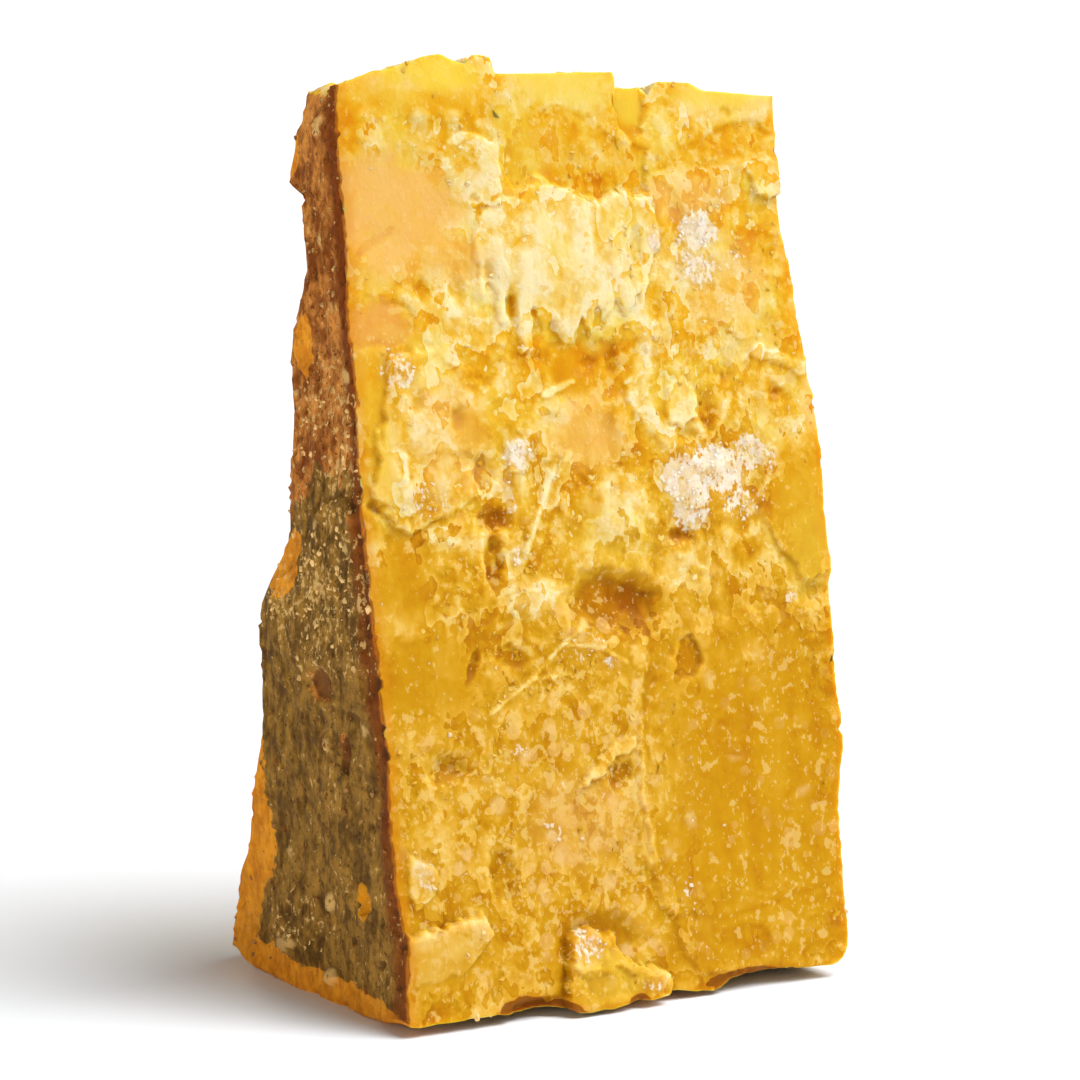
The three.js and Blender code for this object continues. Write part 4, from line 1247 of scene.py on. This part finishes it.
dents = strew.node("ShaderNodeVectorMath", {"operation": "SUBTRACT"}, {0: dents, 1: (0.5, 0.5, 0.5)})
dents = strew.node("ShaderNodeVectorMath", {"operation": "SCALE"}, {0: dents, "Scale": given["Largest"]})
lumps = strew.node("GeometryNodeSetPosition", {}, {"Geometry": lumps, "Offset": dents})
lumps = strew.node("GeometryNodeSetMaterial", {}, {"Geometry": lumps, "Material": given["Finish"]})
strew.node("NodeGroupOutput", {}, {"Lumps": lumps})
print("strewing tree:", len(strew_tree.nodes), "nodes")


# %% Finish of the lumps
def lump_finish(name, lump_stops, place):
    """A dry finish whose colour runs along some stops by a map and by each lump's own draw."""
    material = bpy.data.materials.new(name)
    nodes = finish(material)
    along_stops = nodes.map(place) + nodes.map("shade") * 0.3 + nodes.noise(1800, 2, 0.6) * 0.2 - 0.16
    colour = nodes.ramp(lump_stops, along_stops)
    nodes.surface({"Base Color": colour, "Roughness": 0.65, "Specular IOR Level": 0.1})
    return material


CRYSTAL_STOPS = stops(paste_colour, (0.0, 248, 214, 148), (1.0, 264, 252, 234))
CRUMB_STOPS = stops(rind_colour, (0.0, 120, 74, 32), (0.8, 206, 172, 112))
flake_finish = lump_finish("flake", PASTE_STOPS, "tone")
crystal_finish = lump_finish("crystal", CRYSTAL_STOPS, "chalk")
crumb_finish = lump_finish("crumb", CRUMB_STOPS, "grainy")


# %% Strew them
def strew_over(name, **inputs):
    """A piece made of lumps strewn over the skin."""
    piece = bpy.data.objects.new(name, skin)
    bpy.context.collection.objects.link(piece)
    modifier = piece.modifiers.new("strew", "NODES")
    modifier.node_group = strew_tree
    for socket in strew_tree.interface.items_tree:
        key = socket.name.lower().replace(" ", "_")
        if key in inputs:
            modifier[socket.identifier] = inputs[key]
    made = plain_mesh(piece, name)
    print(name + ":", len(made.polygons), "faces")
    return piece


strewn = [
    strew_over("flakes", map="flakes", lumps_a_square_metre=90000.0, smallest=0.0005, largest=0.0016,
               lowest_stretch=(0.6, 0.5, 0.2), highest_stretch=(1.3, 1.0, 0.5), seed=3, finish=flake_finish),
    strew_over("crystals", map="crystals", lumps_a_square_metre=350000.0, smallest=0.0004, largest=0.0012,
               lowest_stretch=(0.7, 0.7, 0.4), highest_stretch=(1.2, 1.0, 0.8), seed=5,
               finish=crystal_finish),
    strew_over("crumbs", map="crumbs", lumps_a_square_metre=60000.0, smallest=0.0005, largest=0.0018,
               lowest_stretch=(0.6, 0.6, 0.3), highest_stretch=(1.4, 1.1, 0.7), seed=7, finish=crumb_finish),
]

# %% [markdown]
# ## Floor, light and camera
# A white floor runs far behind the wedge under a white sky, so no horizon shows. A broad light from above
# and from the right models the break and throws the soft shadow to the left. A spot lifts the upper half of
# the cut, and two low lights fill the left rind and the back. The camera stands where the photo's lines of
# sight meet: thirty-one degrees round to the left and a little above the middle.

# %% White floor
FLOOR_REACH = 6.0
floor_mesh = bpy.data.meshes.new("floor")
floor_corners = [(x * FLOOR_REACH, y * FLOOR_REACH, 0) for x, y in ((-1, -1), (1, -1), (1, 1), (-1, 1))]
floor_mesh.from_pydata(floor_corners, [], [(0, 1, 2, 3)])
floor = bpy.data.objects.new("floor", floor_mesh)
bpy.context.collection.objects.link(floor)
floor_mesh.materials.append(bpy.data.materials.new("white_floor"))
finish(floor_mesh.materials[0]).surface({"Base Color": (0.92, 0.955, 1.0, 1), "Roughness": 0.9})

# %% Sky
SKY_LIGHT = 0.13
SKY_SEEN = 1.1
scene = bpy.context.scene
scene.view_settings.view_transform = "Standard"
scene.world = bpy.data.worlds.new("sky")
scene.world.use_nodes = True
scene.world.node_tree.nodes.clear()
sky = Nodes(scene.world.node_tree)
lighting, backdrop = (
    sky.node("ShaderNodeBackground", {}, {"Color": (1, 1, 1, 1), "Strength": strength})
    for strength in (SKY_LIGHT, SKY_SEEN))
seen_directly = sky.node("ShaderNodeLightPath", output="Is Camera Ray")
either = sky.node("ShaderNodeMixShader", {}, {0: seen_directly, 1: lighting, 2: backdrop})
sky.node("ShaderNodeOutputWorld", {}, {"Surface": either})


# %% Broad light
def direction(azimuth, elevation):
    """The way towards a place in the sky, in degrees: azimuth 0 is the front, 90 the right."""
    turn, lift = math.radians(azimuth), math.radians(elevation)
    return Vector((math.sin(turn) * math.cos(lift), -math.cos(turn) * math.cos(lift), math.sin(lift)))


def place_facing(name, data, way, location):
    """An object at a place, with its back along a way, so that it looks against it."""
    placed = bpy.data.objects.new(name, data)
    bpy.context.collection.objects.link(placed)
    placed.location = location
    placed.rotation_euler = way.to_track_quat("Z", "Y").to_euler()
    return placed


def add_sun(name, azimuth, elevation, strength, width, colour=(1, 1, 1)):
    """A broad far light that shines from a direction."""
    lamp = bpy.data.lights.new(name, "SUN")
    lamp.energy, lamp.color, lamp.angle = strength, colour, math.radians(width)
    place_facing(name, lamp, direction(azimuth, elevation), (0, 0, 0))


add_sun("overhead", azimuth=38, elevation=57, strength=3.5, width=40)
add_sun("side_fill", azimuth=-46, elevation=4, strength=1.5, width=50, colour=(1, 0.88, 0.68))
add_sun("back_fill", azimuth=165, elevation=5, strength=1.6, width=16, colour=(1, 0.9, 0.74))
SPOT_AIM = Vector((0.01, 0, 0.13))
SPOT_DISTANCE = 0.95
spot_way = direction(35, 28)
lamp = bpy.data.lights.new("front_spot", "SPOT")
lamp.energy, lamp.spot_size, lamp.spot_blend, lamp.shadow_soft_size = 8.4, math.radians(19), 1.0, 0.15
place_facing("front_spot", lamp, spot_way, SPOT_AIM + SPOT_DISTANCE * spot_way)
print(len(bpy.data.lights), "lights")

# %% Camera at the photo's angle
CAMERA_AIM = Vector((0.0, 3.8, 96.5)) * MM
CAMERA_DISTANCE = 801.8 * MM
PHOTO_FOCAL, PHOTO_WIDTH = 3611, 1080  # in pixels
back = direction(-30.73, 6.57)
eye = place_facing("camera", bpy.data.cameras.new("camera"), back, CAMERA_AIM + CAMERA_DISTANCE * back)
eye.data.sensor_width = 36
eye.data.lens = PHOTO_FOCAL / PHOTO_WIDTH * eye.data.sensor_width
eye.data.clip_start = 0.05
scene.camera = eye
print("camera at", [round(value, 3) for value in eye.location])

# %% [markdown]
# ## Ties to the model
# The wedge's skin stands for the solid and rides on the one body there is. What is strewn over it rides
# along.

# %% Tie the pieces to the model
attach(wedge, "root")
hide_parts("cheese_wedge")
for piece in strewn:
    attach(piece, "root")
